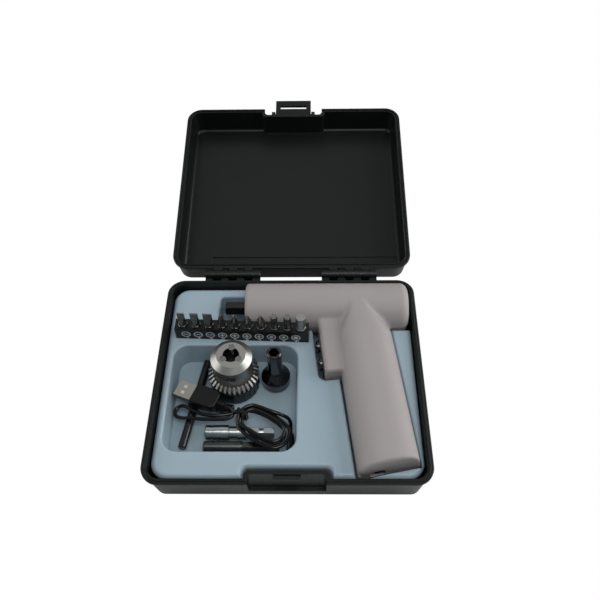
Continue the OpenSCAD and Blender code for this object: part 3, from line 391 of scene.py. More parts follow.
@dataclass(frozen=True)
class ViewPoint:
    """Where the camera stands in the row frame.

    Attributes:
        place: Position in metres.
        pitch: Angle down from level, in radians.
        yaw: Turn from +Y towards +X, in radians.
        roll: Roll about the line of sight, in radians.
        focal_pixels: Focal length in pixels of the square frame.
        frame_pixels: Width of that frame in pixels.
        sensor: Sensor width in millimetres.
    """

    place: Point = (0.016115, -0.238176, 0.425774)
    pitch: float = 0.9218030597593806
    yaw: float = -0.030579842440890275
    roll: float = -0.027062831642987867
    focal_pixels: float = 681.896163273121
    frame_pixels: int = 600
    sensor: float = 36.0

    def lens(self) -> float:
        """Returns the focal length in millimetres."""
        return self.focal_pixels / self.frame_pixels * self.sensor

    def matrix(self) -> Matrix:
        """Returns the camera's world matrix."""
        ce, se = math.cos(self.pitch), math.sin(self.pitch)
        cy, sy = math.cos(self.yaw), math.sin(self.yaw)
        ahead = Vector((sy * ce, cy * ce, -se))
        right = Vector((cy, -sy, 0.0))
        up = right.cross(ahead)
        cr, sr = math.cos(self.roll), math.sin(self.roll)
        side = cr * right + sr * up
        top = -sr * right + cr * up
        back = -ahead
        spin = Matrix((
            (side.x, top.x, back.x),
            (side.y, top.y, back.y),
            (side.z, top.z, back.z),
        )).to_4x4()
        return Matrix.Translation(self.place) @ spin


@dataclass(frozen=True)
class Lamp:
    """One area lamp.

    Attributes:
        name: Lamp name.
        place: Position in metres.
        width: Size along its X.
        height: Size along its Y.
        watts: Power.
        aim: Point that it faces.
    """

    name: str
    place: Point
    width: float
    height: float
    watts: float
    aim: Point = (0.0, 0.0, 0.0)

    def build(self) -> None:
        """Makes the lamp."""
        data = bpy.data.lights.new(self.name, "AREA")
        data.shape = "RECTANGLE"
        data.size = self.width
        data.size_y = self.height
        data.energy = self.watts
        lamp = bpy.data.objects.new(self.name, data)
        lamp.location = self.place
        lamp.rotation_euler = (Vector(self.aim) - Vector(self.place)).to_track_quat("-Z", "Y").to_euler()
        bpy.context.scene.collection.objects.link(lamp)


@dataclass(frozen=True)
class Studio:
    """Camera, light and floor.

    Attributes:
        view: Where the camera stands.
        lamps: The lamps round the case.
        world_strength: Strength of the even light from all round.
        world_tint: Colour of that light.
        floor_size: Width of the floor in metres.
        floor_drop: How far the floor lies below the case, in metres.
        floor_grey: How pale the floor is to the light.
    """

    view: ViewPoint
    lamps: tuple[Lamp, ...] = (
        Lamp("right", (0.75, 0.2, 0.42), 0.8, 0.6, 5.8),
        Lamp("left", (-0.8, 0.1, 0.4), 0.7, 0.6, 2.7),
        Lamp("top", (0.1, -0.25, 0.95), 0.5, 0.5, 3.2),
        Lamp("card", (-0.12, 0.5, 0.75), 0.7, 0.5, 0.45, aim=(-0.03, 0.0, 0.03)),
    )
    world_strength: float = 0.2
    world_tint: Point = (0.93, 0.96, 1.0)
    floor_size: float = 6.0
    floor_drop: float = 0.0002
    floor_grey: float = 0.75

    def build(self) -> None:
        """Makes camera, floor, world light and lamps."""
        self._camera()
        self._world()
        self._floor()
        for lamp in self.lamps:
            lamp.build()

    def _camera(self) -> None:
        """Makes the camera at its view point."""
        data = bpy.data.cameras.new("camera")
        data.lens = self.view.lens()
        data.sensor_width = self.view.sensor
        camera = bpy.data.objects.new("camera", data)
        camera.matrix_world = self.view.matrix()
        bpy.context.scene.collection.objects.link(camera)
        bpy.context.scene.camera = camera

    def _world(self) -> None:
        """Lights the world evenly; the camera sees plain white."""
        world = bpy.data.worlds.new("world")
        bpy.context.scene.world = world
        world.use_nodes = True
        world.node_tree.nodes.clear()
        tree = NodeTree(world.node_tree)
        out = tree.add("ShaderNodeOutputWorld")
        mix = tree.add("ShaderNodeMixShader")
        rays = tree.add("ShaderNodeLightPath")
        seen = tree.add("ShaderNodeBackground", Strength=1.0)
        seen.inputs["Color"].default_value = (1.0, 1.0, 1.0, 1.0)
        soft = tree.add("ShaderNodeBackground", Strength=self.world_strength)
        soft.inputs["Color"].default_value = (*self.world_tint, 1.0)
        tree.link(rays.outputs["Is Camera Ray"], mix.inputs[0])
        tree.link(soft.outputs[0], mix.inputs[1])
        tree.link(seen.outputs[0], mix.inputs[2])
        tree.link(mix.outputs[0], out.inputs["Surface"])

    def _floor(self) -> None:
        """Makes the pale floor, which is plain white to the camera and through glass."""
        bpy.ops.mesh.primitive_plane_add(size=self.floor_size, location=(0, 0, -self.floor_drop))
        floor = bpy.context.object
        floor.name = "floor"
        material = bpy.data.materials.new("floor_white")
        material.use_nodes = True
        material.node_tree.nodes.clear()
        tree = NodeTree(material.node_tree)
        out = tree.add("ShaderNodeOutputMaterial")
        matt = tree.add("ShaderNodeBsdfDiffuse")
        matt.inputs["Color"].default_value = (self.floor_grey, self.floor_grey, self.floor_grey, 1.0)
        glow = tree.add("ShaderNodeEmission", Strength=1.0)
        rays = tree.add("ShaderNodeLightPath")
        seen = tree.calculate(
            "MAXIMUM", rays.outputs["Is Camera Ray"], rays.outputs["Is Transmission Ray"])
        mix = tree.add("ShaderNodeMixShader")
        tree.link(seen, mix.inputs[0])
        tree.link(matt.outputs[0], mix.inputs[1])
        tree.link(glow.outputs[0], mix.inputs[2])
        tree.link(mix.outputs[0], out.inputs["Surface"])
        floor.data.materials.append(material)


def add_object(name: str, mesh: bmesh.types.BMesh) -> bpy.types.Object:
    """Turns a bmesh into an object of the scene.

    Args:
        name: Object name.
        mesh: The form; it is freed.

    Returns:
        The new object.
    """
    data = bpy.data.meshes.new(name)
    mesh.to_mesh(data)
    mesh.free()
    obj = bpy.data.objects.new(name, data)
    bpy.context.scene.collection.objects.link(obj)
    return obj


def add_piece(
    name: str, mesh: bmesh.types.BMesh, material: bpy.types.Material, body: str,
) -> bpy.types.Object:
    """Turns a bmesh into a piece that rides on a body.

    Args:
        name: Object name.
        mesh: The form, in metres in the row frame; it is freed.
        material: Its finish.
        body: The body that carries it.

    Returns:
        The new object.
    """
    obj = add_object(name, mesh)
    obj.data.materials.append(material)
    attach(obj, body)
    return obj


def add_block(mesh: bmesh.types.BMesh, frame: Matrix, middle: Point, size: Point) -> None:
    """Adds a plain block to a bmesh.

    Args:
        mesh: The bmesh.
        frame: The frame that the block is given in, in metres.
        middle: Middle of the block in that frame, in millimetres.
        size: Its sizes in millimetres.
    """
    place = Matrix.Translation([value * MM for value in middle])
    sizes = Matrix.Diagonal((*(value * MM for value in size), 1.0))
    bmesh.ops.create_cube(mesh, size=1.0, matrix=frame @ place @ sizes)


def bridge(
    mesh: bmesh.types.BMesh, near: Sequence[bmesh.types.BMVert], far: Sequence[bmesh.types.BMVert],
) -> None:
    """Joins two closed rows of vertices with quads.

    Args:
        mesh: The bmesh that holds them.
        near: First row.
        far: Second row, as long as the first.
    """
    for k in range(len(near)):
        n = (k + 1) % len(near)
        mesh.faces.new((near[k], far[k], far[n], near[n]))


def subtract(obj: bpy.types.Object, mesh: bmesh.types.BMesh) -> None:
    """Adds a boolean cut to an object.

    Args:
        obj: The object.
        mesh: The cutting form, in metres; it is freed.
    """
    cutter = add_object("cutter", mesh)
    cutter.hide_render = True
    cut = obj.modifiers.new("cut", "BOOLEAN")
    cut.operation = "DIFFERENCE"
    cut.solver = "EXACT"
    cut.object = cutter


def bake_modifiers(obj: bpy.types.Object) -> None:
    """Applies an object's modifiers to its mesh and removes their cutting forms.

    Args:
        obj: The object.
    """
    cutters = [m.object for m in obj.modifiers if m.type == "BOOLEAN" and m.object]
    depsgraph = bpy.context.evaluated_depsgraph_get()
    done = bpy.data.meshes.new_from_object(obj.evaluated_get(depsgraph))
    obj.modifiers.clear()
    obj.data = done
    for cutter in cutters:
        bpy.data.objects.remove(cutter)


class RepeatTree:
    """Geometry Nodes tree that repeats an object's mesh, with named inputs for its sizes."""

    def __init__(self, name: str, sizes: dict[str, str]) -> None:
        """Starts the tree.

        Args:
            name: Tree name.
            sizes: Socket type of each input by its name.
        """
        self.group = bpy.data.node_groups.new(name, "GeometryNodeTree")
        face = self.group.interface
        face.new_socket(name="Geometry", in_out="INPUT", socket_type="NodeSocketGeometry")
        face.new_socket(name="Geometry", in_out="OUTPUT", socket_type="NodeSocketGeometry")
        self.keys = {
            label: face.new_socket(name=label, in_out="INPUT", socket_type=kind).identifier
            for label, kind in sizes.items()
        }
        self.tree = NodeTree(self.group)
        self.inlet = self.tree.add("NodeGroupInput")
        self.line = self.tree.add("GeometryNodeMeshLine", Offset=(0.0, 0.0, 0.0))
        self.copies = self.tree.add("GeometryNodeInstanceOnPoints")
        self.tree.link(self.inlet.outputs["Count"], self.line.inputs["Count"])
        self.tree.link(self.line.outputs["Mesh"], self.copies.inputs["Points"])
        self.tree.link(self.inlet.outputs["Geometry"], self.copies.inputs["Instance"])

    def bake(self, obj: bpy.types.Object, material: bpy.types.Material, **values: object) -> None:
        """Closes the tree, runs it on an object and bakes the result.

        Args:
            obj: The object whose mesh is repeated.
            material: Finish of the copies.
            **values: Value of each named input.
        """
        real = self.tree.add("GeometryNodeRealizeInstances")
        paint = self.tree.add("GeometryNodeSetMaterial", Material=material)
        outlet = self.tree.add("NodeGroupOutput")
        self.tree.link(self.copies.outputs[0], real.inputs[0])
        self.tree.link(real.outputs[0], paint.inputs[0])
        self.tree.link(paint.outputs[0], outlet.inputs[0])
        modifier = obj.modifiers.new("repeat", "NODES")
        modifier.node_group = self.group
        for label, value in values.items():
            modifier[self.keys[label]] = value
        bake_modifiers(obj)


def repeat_in_row(obj: bpy.types.Object, count: int, step: Point, material: bpy.types.Material) -> None:
    """Repeats an object's mesh in a row.

    Args:
        obj: The object whose mesh is repeated.
        count: How many copies.
        step: Offset from one copy to the next.
        material: Finish of the copies.
    """
    repeat = RepeatTree("repeat_in_row", {"Count": "NodeSocketInt", "Step": "NodeSocketVector"})
    repeat.tree.link(repeat.inlet.outputs["Step"], repeat.line.inputs["Offset"])
    repeat.bake(obj, material, Count=count, Step=step)


def repeat_around(obj: bpy.types.Object, count: int, material: bpy.types.Material) -> None:
    """Repeats an object's mesh about Z and joins the copies where they meet.

    Args:
        obj: The object whose mesh is repeated.
        count: How many copies make the full turn.
        material: Finish of the copies.
    """
    repeat = RepeatTree("repeat_around", {"Count": "NodeSocketInt"})
    tree = repeat.tree
    index = tree.add("GeometryNodeInputIndex")
    share = tree.calculate("DIVIDE", math.tau, repeat.inlet.outputs["Count"])
    turn = tree.add("ShaderNodeCombineXYZ")
    tree.link(tree.calculate("MULTIPLY", index.outputs[0], share), turn.inputs["Z"])
    tree.link(turn.outputs[0], repeat.copies.inputs["Rotation"])
    repeat.bake(obj, material, Count=count)
    work = bmesh.new()
    work.from_mesh(obj.data)
    bmesh.ops.remove_doubles(work, verts=work.verts[:], dist=MERGE_DISTANCE)
    work.to_mesh(obj.data)
    work.free()


def smooth_curve(route: Sequence[Point], steps: int) -> list[Vector]:
    """Runs a smooth curve through given points.

    Args:
        route: Points in metres.
        steps: Steps from one point to the next.

    Returns:
        The curve's points, ends included.
    """
    out: list[Vector] = []
    knots = [Vector(p) for p in route]
    for i in range(len(knots) - 1):
        a, b = knots[max(i - 1, 0)], knots[i]
        c, d = knots[i + 1], knots[min(i + 2, len(knots) - 1)]
        for k in range(steps):
            t = k / steps
            bend = (2 * a - 5 * b + 4 * c - d) * t * t + (3 * b - a - 3 * c + d) * t ** 3
            out.append(0.5 * (2 * b + (c - a) * t + bend))
    out.append(knots[-1])
    return out


@dataclass(frozen=True)
class Coil:
    """Winding of the charging cable's coil, in millimetres and degrees.

    Attributes:
        middle: Middle of the coil in plan.
        turn: Turn of its long axis.
        radius: Radius of the outer turns at the round ends.
        run: Straight run between the round ends.
        flare: How soon a round end passes into the straight run.
        step: Distance from turn to turn.
        low: Height of the lower layer.
        start: Angle at which the winding starts.
        turns: Number of turns.
        shift: Share of a turn in which the cable changes lane.
    """

    middle: Flat = (-16.4, -34.4)
    turn: float = -32.0
    radius: float = 10.8
    run: float = 15.0
    flare: float = 1.6
    step: float = 3.1
    low: float = 18.8
    start: float = 130.0
    turns: float = 3.083
    shift: float = 0.12

    def _ramp(self, u: float, at: float) -> float:
        """Smooth step from 0 to 1 that starts at a turn count.

        Args:
            u: Turn count.
            at: Where the step starts.

        Returns:
            The step's value.
        """
        t = min(1.0, max(0.0, (u - at) / self.shift))
        return t * t * (3 - 2 * t)

    def point(self, u: float) -> Point:
        """Returns the coil's centreline at a turn count, in metres.

        Args:
            u: Turn count from 0 to turns.
        """
        angle = math.radians(self.start - 360 * u)
        inner = self._ramp(u, 1 - self.shift) - self._ramp(u, 3 - 3 * self.shift)
        radius = self.radius - self.step * inner
        side = min(1.0, max(-1.0, self.flare * math.cos(angle)))
        x = radius * math.cos(angle) + self.run / 2 * side
        y = radius * math.sin(angle)
        c, s = math.cos(math.radians(self.turn)), math.sin(math.radians(self.turn))
        z = self.low + self.step * self._ramp(u, 2 - 2 * self.shift)
        return ((self.middle[0] + x * c - y * s) * MM, (self.middle[1] + x * s + y * c) * MM, z * MM)

    def path(self, per_turn: int) -> list[Vector]:
        """Returns points along the whole winding.

        Args:
            per_turn: Points in each turn.
        """
        count = round(per_turn * self.turns)
        return [Vector(self.point(self.turns * i / count)) for i in range(count + 1)]


@dataclass(frozen=True)
class ChargingCable:
    """The limp cable from the USB plug through the coil to the round plug, in metres.

    Attributes:
        materials: The finishes.
        lead: Route from the USB plug to the coil.
        coil: The winding.
        tail: Route from the coil to the round plug.
        diameter: Diameter of the cable.
        per_turn: Points in each turn of the coil.
        steps: Steps from one point of a route to the next.
        roundness: Steps round a quarter of the cable's section.
    """

    materials: MaterialLibrary
    lead: tuple[Point, ...] = (
        (-0.04343, -0.01848, 0.0191), (-0.0402, -0.0199, 0.0192), (-0.0372, -0.0222, 0.0196),
        (-0.0376, -0.0264, 0.0192), (-0.0416, -0.0282, 0.0186), (-0.048, -0.0282, 0.018),
        (-0.057, -0.0276, 0.017), (-0.066, -0.0263, 0.0158), (-0.072, -0.0254, 0.0144),
        (-0.0764, -0.023, 0.013), (-0.0772, -0.019, 0.0126), (-0.0746, -0.0162, 0.0134),
        (-0.07, -0.0174, 0.0156), (-0.064, -0.0208, 0.016), (-0.056, -0.024, 0.016),
        (-0.046, -0.0242, 0.016), (-0.039, -0.0228, 0.0156), (-0.0335, -0.0209, 0.0162),
        (-0.029, -0.0204, 0.0174),
    )
    coil: Coil = Coil()
    tail: tuple[Point, ...] = (
        (-0.0095, -0.0249, 0.0217), (-0.0048, -0.026, 0.0202), (-0.0008, -0.0266, 0.017),
        (0.0011, -0.028, 0.0132), (0.0012, -0.031, 0.0104), (0.0012, -0.0345, 0.0098),
    )
    diameter: float = 0.0025
    per_turn: int = 64
    steps: int = 8
    roundness: int = 5

    def route(self) -> list[Vector]:
        """Returns the cable's centreline from plug to plug."""
        winding = self.coil.path(self.per_turn)
        lead = smooth_curve((*self.lead, tuple(winding[0])), self.steps)
        tail = smooth_curve((tuple(winding[-1]), *self.tail), self.steps)
        return lead[:-1] + winding + tail[1:]

    def build(self) -> list[bpy.types.Object]:
        """Returns:
            The cable.
        """
        points = self.route()
        data = bpy.data.curves.new("cable", "CURVE")
        data.dimensions = "3D"
        data.bevel_depth = self.diameter / 2
        data.bevel_resolution = self.roundness
        data.use_fill_caps = True
        spline = data.splines.new("POLY")
        spline.points.add(len(points) - 1)
        for knot, place in zip(spline.points, points):
            knot.co = (*place, 1.0)
        cable = bpy.data.objects.new("cable", data)
        bpy.context.scene.collection.objects.link(cable)
        data.materials.append(self.materials.get(Finish.SHEATH))
        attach(cable, "cable")
        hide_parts("cable_lead", "cable_coil", "cable_tail")
        return [cable]


@dataclass(frozen=True)
class DrillShell:
    """Upper half of the drill's housing as one softly blended shell.

    Barrel, grip and switch block are distances to three rounded solids. A smooth minimum joins them, and
    a mesh is relaxed and moved onto the level where the joined distance is zero. Sizes are millimetres,
    in the row frame or, for grip, shoulders, block and cuts, in the grip's own frame.

    Attributes:
        materials: The finishes.
        barrel: Front end, back end and radius of the barrel.
        axis: Height in plan of the barrel's axis, and the height of the parting plane.
        edge_front: Edge radius at the barrel's front.
        edge_back: Edge radius at its back.
        edge_split: Place along the barrel that tells front from back.
        grip_at: Origin of the grip's frame.
        lean: Turn of the grip's frame.
        grip_half: Half width and half thickness of the grip.
        grip_power: Power of the grip's superellipse.
        grip_top: Where the grip ends inside the barrel.
        grip_end: Distance from the origin to the grip's free end.
        end_turn: Slant of that end.
        end_edge: Its edge radius.
        shoulders: Normal and level of the two planes that shape the grip's arch on the barrel.
        shoulder_edge: Softness of the arch's edges.
        shoulder_foot: Softness of the arch's foot on the barrel.
        block_middle: Middle of the switch block.
        block_half: Its half sizes.
        block_edge: Its edge radius.
        block_foot: Softness of its foot.
        rough_boxes: Middle and size of the boxes that the mesh starts from, grip and block.
        voxel: Spacing of the mesh.
        rounds: Rounds that move the mesh onto the surface.
        relaxed: How many of them also relax it.
        reach: Furthest move in one round.
        wall: Thickness of the wall.
        panel_cut: Middle and size of the opening for the switch panel.
        socket_cut: Middle and size of the opening for the charging socket.
        bore: Radius and depth of the bearing's bore.
    """

    materials: MaterialLibrary
    barrel: Point = (-31.6, 83.8, 18.0)
    axis: Flat = (55.4, 28.5)
    edge_front: float = 2.2
    edge_back: float = 5.5
    edge_split: float = 20.0
    grip_at: Flat = (54.95, 0.0)
    lean: float = math.radians(6.5)
    grip_half: Flat = (19.4, 17.0)
    grip_power: float = 2.65
    grip_top: float = 50.0
    grip_end: float = 69.4
    end_turn: float = math.radians(4.9)
    end_edge: float = 1.3
    shoulders: tuple[tuple[Point, float], ...] = (
        ((0.768, 0.353, 0.535), 28.1), ((-0.80, 0.274, 0.535), 27.3))
    shoulder_edge: float = 1.2
    shoulder_foot: float = 2.6
    block_middle: Point = (-17.85, 25.6, 0.0)
    block_half: Point = (12.85, 25.0, 9.0)
    block_edge: float = 2.8
    block_foot: float = 1.4
    rough_boxes: tuple[tuple[Point, Point], ...] = (
        ((0.0, -9.0, 0.0), (37.0, 118.0, 31.0)), ((-17.85, 25.6, 0.0), (24.7, 49.0, 17.0)))
    voxel: float = 1.0
    voxel_quick: float = 1.6
    rounds: int = 16
    relaxed: int = 11
    reach: float = 1.5
    wall: float = 2.0
    panel_cut: tuple[Point, Point] = ((-32.0, 19.0, 0.0), (9.0, 30.0, 11.8))
    socket_cut: tuple[Point, Point] = ((-7.2, -69.4, 0.0), (9.0, 9.0, 6.0))
    bore: Flat = (6.5, 9.0)

    @staticmethod
    def _round_box(p: np.ndarray, middle: Point, half: Point, radius: float) -> np.ndarray:
        """Distance to a box whose edges all have one radius.

        Args:
            p: Points, one in each row.
            middle: Middle of the box.
            half: Half sizes.
            radius: Edge radius.

        Returns:
            Signed distances.
        """
        q = np.abs(p - np.array(middle)) - (np.array(half) - radius)
        return np.linalg.norm(np.maximum(q, 0), axis=1) + np.minimum(q.max(axis=1), 0) - radius

    @staticmethod
    def _smooth_min(a: np.ndarray, b: np.ndarray, width: float) -> np.ndarray:
        """Smooth minimum of two distances.

        Args:
            a: First distances.
            b: Second distances.
            width: Width of the blend.

        Returns:
            The blended distances.
        """
        h = np.maximum(width - np.abs(a - b), 0) / width
        return np.minimum(a, b) - h * h * width / 4

    def _section(self, x: np.ndarray, z: np.ndarray) -> np.ndarray:
        """Radial distance to the grip's section, which is a full superellipse.

        Args:
            x: Places across the grip.
            z: Places about the parting plane.

        Returns:
            Signed distances.
        """
        across, deep = self.grip_half
        power = self.grip_power
        ratio = ((np.abs(x) / across) ** power + (np.abs(z) / deep) ** power) ** (1 / power)
        return np.hypot(x, z) * (1 - 1 / np.maximum(ratio, LEAST_RATIO))

    def _grip_frame(self, p: np.ndarray) -> np.ndarray:
        """Turns points into the grip's own frame.

        Args:
            p: Points in the row frame, millimetres.

        Returns:
            The points with x across, y along the grip and z about the parting plane.
        """
        c, s = math.cos(self.lean), math.sin(self.lean)
        x, y = p[:, 0] - self.grip_at[0], p[:, 1] - self.grip_at[1]
        return np.stack([c * x + s * y, -s * x + c * y, p[:, 2] - self.axis[1]], axis=1)

    def _barrel_distance(self, p: np.ndarray) -> np.ndarray:
        """Distance to the barrel, whose two ends have their own edge radius.

        Args:
            p: Points in the row frame.

        Returns:
            Signed distances.
        """
        low, high, radius = self.barrel
        at_front = p[:, 0] < self.edge_split
        edge = np.where(at_front, self.edge_front, self.edge_back)
        side = np.hypot(p[:, 1] - self.axis[0], p[:, 2] - self.axis[1])
        qx = np.where(at_front, low + edge - p[:, 0], p[:, 0] - (high - edge))
        qr = side - (radius - edge)
        return np.hypot(np.maximum(qx, 0), np.maximum(qr, 0)) + np.minimum(np.maximum(qx, qr), 0) - edge

    def _grip_distance(self, g: np.ndarray) -> np.ndarray:
        """Distance to the grip with its slanted end and the shoulders of its arch.

        Args:
            g: Points in the grip's frame.

        Returns:
            Signed distances.
        """
        flat = self._section(g[:, 0], g[:, 2])
        end = -((g[:, 1] + self.grip_end) * math.cos(self.end_turn) - g[:, 0] * math.sin(self.end_turn))
        rim = self.end_edge
        grip = np.hypot(np.maximum(flat + rim, 0), np.maximum(end + rim, 0)) - rim
        grip = np.where((flat + rim < 0) | (end + rim < 0), np.maximum(flat, end), grip)
        grip = np.maximum(grip, g[:, 1] - self.grip_top)
        folded = np.stack([g[:, 0], g[:, 1], np.abs(g[:, 2])], axis=1)
        for normal, level in self.shoulders:
            grip = -self._smooth_min(-grip, level - folded @ np.array(normal), self.shoulder_edge)
        return grip

    def distance(self, p: np.ndarray) -> np.ndarray:
        """Blended distance of points to the whole housing.

        Args:
            p: Points in millimetres, one in each row.

        Returns:
            Distances, negative inside.
        """
        g = self._grip_frame(p)
        block = self._round_box(g, self.block_middle, self.block_half, self.block_edge)
        body = self._smooth_min(self._barrel_distance(p), self._grip_distance(g), self.shoulder_foot)
        return self._smooth_min(body, block, self.block_foot)

    @staticmethod
    def _relax(verts: np.ndarray, edges: np.ndarray) -> np.ndarray:
        """Moves each vertex halfway to the mean of its neighbours.

        Args:
            verts: Vertices in millimetres.
            edges: Pairs of vertex numbers.

        Returns:
            The moved vertices.
        """
        total, count = np.zeros_like(verts), np.zeros(len(verts))
        for near, far in ((edges[:, 0], edges[:, 1]), (edges[:, 1], edges[:, 0])):
            np.add.at(total, near, verts[far])
            np.add.at(count, near, 1)
        return (verts + total / count[:, None]) / 2

    def _project(self, verts: np.ndarray, edges: np.ndarray) -> np.ndarray:
        """Moves vertices onto the blended surface.

        Args:
            verts: Vertices in millimetres.
            edges: Pairs of vertex numbers.

        Returns:
            The moved vertices.
        """
        step, least_slope = 0.05, 0.2
        for turn in range(self.rounds):
            if turn < self.relaxed:
                verts = self._relax(self._relax(verts, edges), edges)
            level = self.distance(verts)
            slope = np.stack([
                (self.distance(verts + step * axis) - self.distance(verts - step * axis)) / (2 * step)
                for axis in np.eye(3)
            ], axis=1)
            size = np.maximum((slope ** 2).sum(axis=1), least_slope)
            verts = verts - np.clip(level / size, -self.reach, self.reach)[:, None] * slope
        return verts

    def _lean_matrix(self) -> Matrix:
        """Returns the grip's frame, in millimetres."""
        return Matrix.Translation((*self.grip_at, self.axis[1])) @ Matrix.Rotation(self.lean, 4, "Z")

    def _rough_form(self) -> bpy.types.Object:
        """Makes the plain union that the surface is drawn from.

        Returns:
            A remeshed object in millimetres.
        """
        mesh = bmesh.new()
        low, high, radius = self.barrel
        place = Matrix.Translation(((low + high) / 2, *self.axis)) @ ALONG_X
        bmesh.ops.create_cone(
            mesh, cap_ends=True, segments=64, radius1=radius, radius2=radius, depth=high - low,
            matrix=place)
        for middle, size in self.rough_boxes:
            fit = self._lean_matrix() @ Matrix.Translation(middle) @ Matrix.Diagonal((*size, 1.0))
            bmesh.ops.create_cube(mesh, size=1.0, matrix=fit)
        rough = add_object("rough", mesh)
        remesh = rough.modifiers.new("remesh", "REMESH")
        remesh.mode = "VOXEL"
        remesh.voxel_size = self.voxel
        depsgraph = bpy.context.evaluated_depsgraph_get()
        done = bpy.data.meshes.new_from_object(rough.evaluated_get(depsgraph))
        bpy.data.objects.remove(rough)
        return bpy.data.objects.new("drill_shell", done)

    def build(self) -> list[bpy.types.Object]:
        """Makes the shell's upper half and hides the CAD half that it stands for.

        Returns:
            The shell.
        """
        shell = self._rough_form()
        mesh = shell.data
        flat = np.empty(len(mesh.vertices) * 3)
        mesh.vertices.foreach_get("co", flat)
        pairs = np.empty(len(mesh.edges) * 2, dtype=np.int32)
        mesh.edges.foreach_get("vertices", pairs)
        moved = self._project(flat.reshape(-1, 3), pairs.reshape(-1, 2))
        mesh.vertices.foreach_set("co", (moved * MM).ravel())
        work = bmesh.new()
        work.from_mesh(mesh)
        bmesh.ops.bisect_plane(
            work, geom=[*work.verts, *work.edges, *work.faces], dist=MERGE_DISTANCE,
            plane_co=(0, 0, self.axis[1] * MM), plane_no=(0, 0, -1), clear_outer=True)
        work.to_mesh(mesh)
        work.free()
        for face in mesh.polygons:
            face.use_smooth = True
        bpy.context.scene.collection.objects.link(shell)
        wall = shell.modifiers.new("wall", "SOLIDIFY")
        wall.thickness = self.wall * MM
        wall.offset = -1.0
        for middle, size in (self.panel_cut, self.socket_cut):
            self._cut(shell, middle, size)
        self._cut_bore(shell)
        bake_modifiers(shell)
        shell.data.materials.append(self.materials.get(Finish.DRILL))
        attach(shell, "drill")
        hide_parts("housing_upper")
        return [shell]

    def _cut(self, shell: bpy.types.Object, middle: Point, size: Point) -> None:
        """Cuts a box out of the shell, given in the grip's frame.

        Args:
            shell: The shell.
            middle: Middle of the box in millimetres.
            size: Its sizes.
        """
        fit = Matrix.Diagonal((MM, MM, MM, 1.0)) @ self._lean_matrix()
        fit = fit @ Matrix.Translation(middle) @ Matrix.Diagonal((*size, 1.0))
        mesh = bmesh.new()
        bmesh.ops.create_cube(mesh, size=1.0, matrix=fit)
        subtract(shell, mesh)

    def _cut_bore(self, shell: bpy.types.Object) -> None:
        """Cuts the bearing's bore out of the barrel's front.

        Args:
            shell: The shell.
        """
        radius, depth = (size * MM for size in self.bore)
        place = Matrix.Translation((self.barrel[0] * MM, self.axis[0] * MM, self.axis[1] * MM)) @ ALONG_X
        mesh = bmesh.new()
        bmesh.ops.create_cone(
            mesh, cap_ends=True, segments=48, radius1=radius, radius2=radius, depth=depth, matrix=place)
        subtract(shell, mesh)


@dataclass(frozen=True)
class BevelGear:
    """The chuck's ring gear with deep bevel teeth that run down its sloping face.

    Attributes:
        materials: The finishes.
        teeth: Number of teeth.
        tooth: Radius and height of the profile through a tooth, in millimetres.
        root: The profile between two teeth.
        flanks: Shares of one pitch, each with whether the tooth stands there.
    """

    materials: MaterialLibrary
    teeth: int = 32
    tooth: tuple[Flat, ...] = (
        (13.6, 0.0), (13.6, 4.4), (14.0, 5.4), (14.4, 5.4), (17.5, 2.6), (17.5, 0.4), (17.1, 0.0))
    root: tuple[Flat, ...] = (
        (13.6, 0.0), (13.6, 3.8), (13.8, 4.0), (14.0, 3.6), (15.4, 1.6), (15.4, 0.4), (15.2, 0.0))
    flanks: tuple[tuple[float, bool], ...] = (
        (0.0, False), (0.16, False), (0.27, True), (0.73, True), (0.84, False), (1.0, False))

    def build(self) -> list[bpy.types.Object]:
        """Makes one tooth, repeats it around the chuck and hides the plainer CAD ring.

        Returns:
            The gear.
        """
        low, high = (Vector(c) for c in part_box("chuck_ring_gear"))
        mesh = bmesh.new()
        rows = []
        for share, on_tooth in self.flanks:
            angle = math.tau * share / self.teeth
            x, y = math.cos(angle), math.sin(angle)
            profile = self.tooth if on_tooth else self.root
            rows.append([mesh.verts.new((r * MM * x, r * MM * y, z * MM)) for r, z in profile])
        for near, far in zip(rows, rows[1:]):
            bridge(mesh, near, far)
        steel = self.materials.get(Finish.BRIGHT)
        gear = add_object("bevel_ring", mesh)
        gear.data.materials.append(steel)
        repeat_around(gear, self.teeth, steel)
        gear.data.transform(Matrix.Translation(((low.x + high.x) / 2, (low.y + high.y) / 2, low.z)))
        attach(gear, "chuck_collar")
        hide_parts("chuck_ring_gear")
        return [gear]


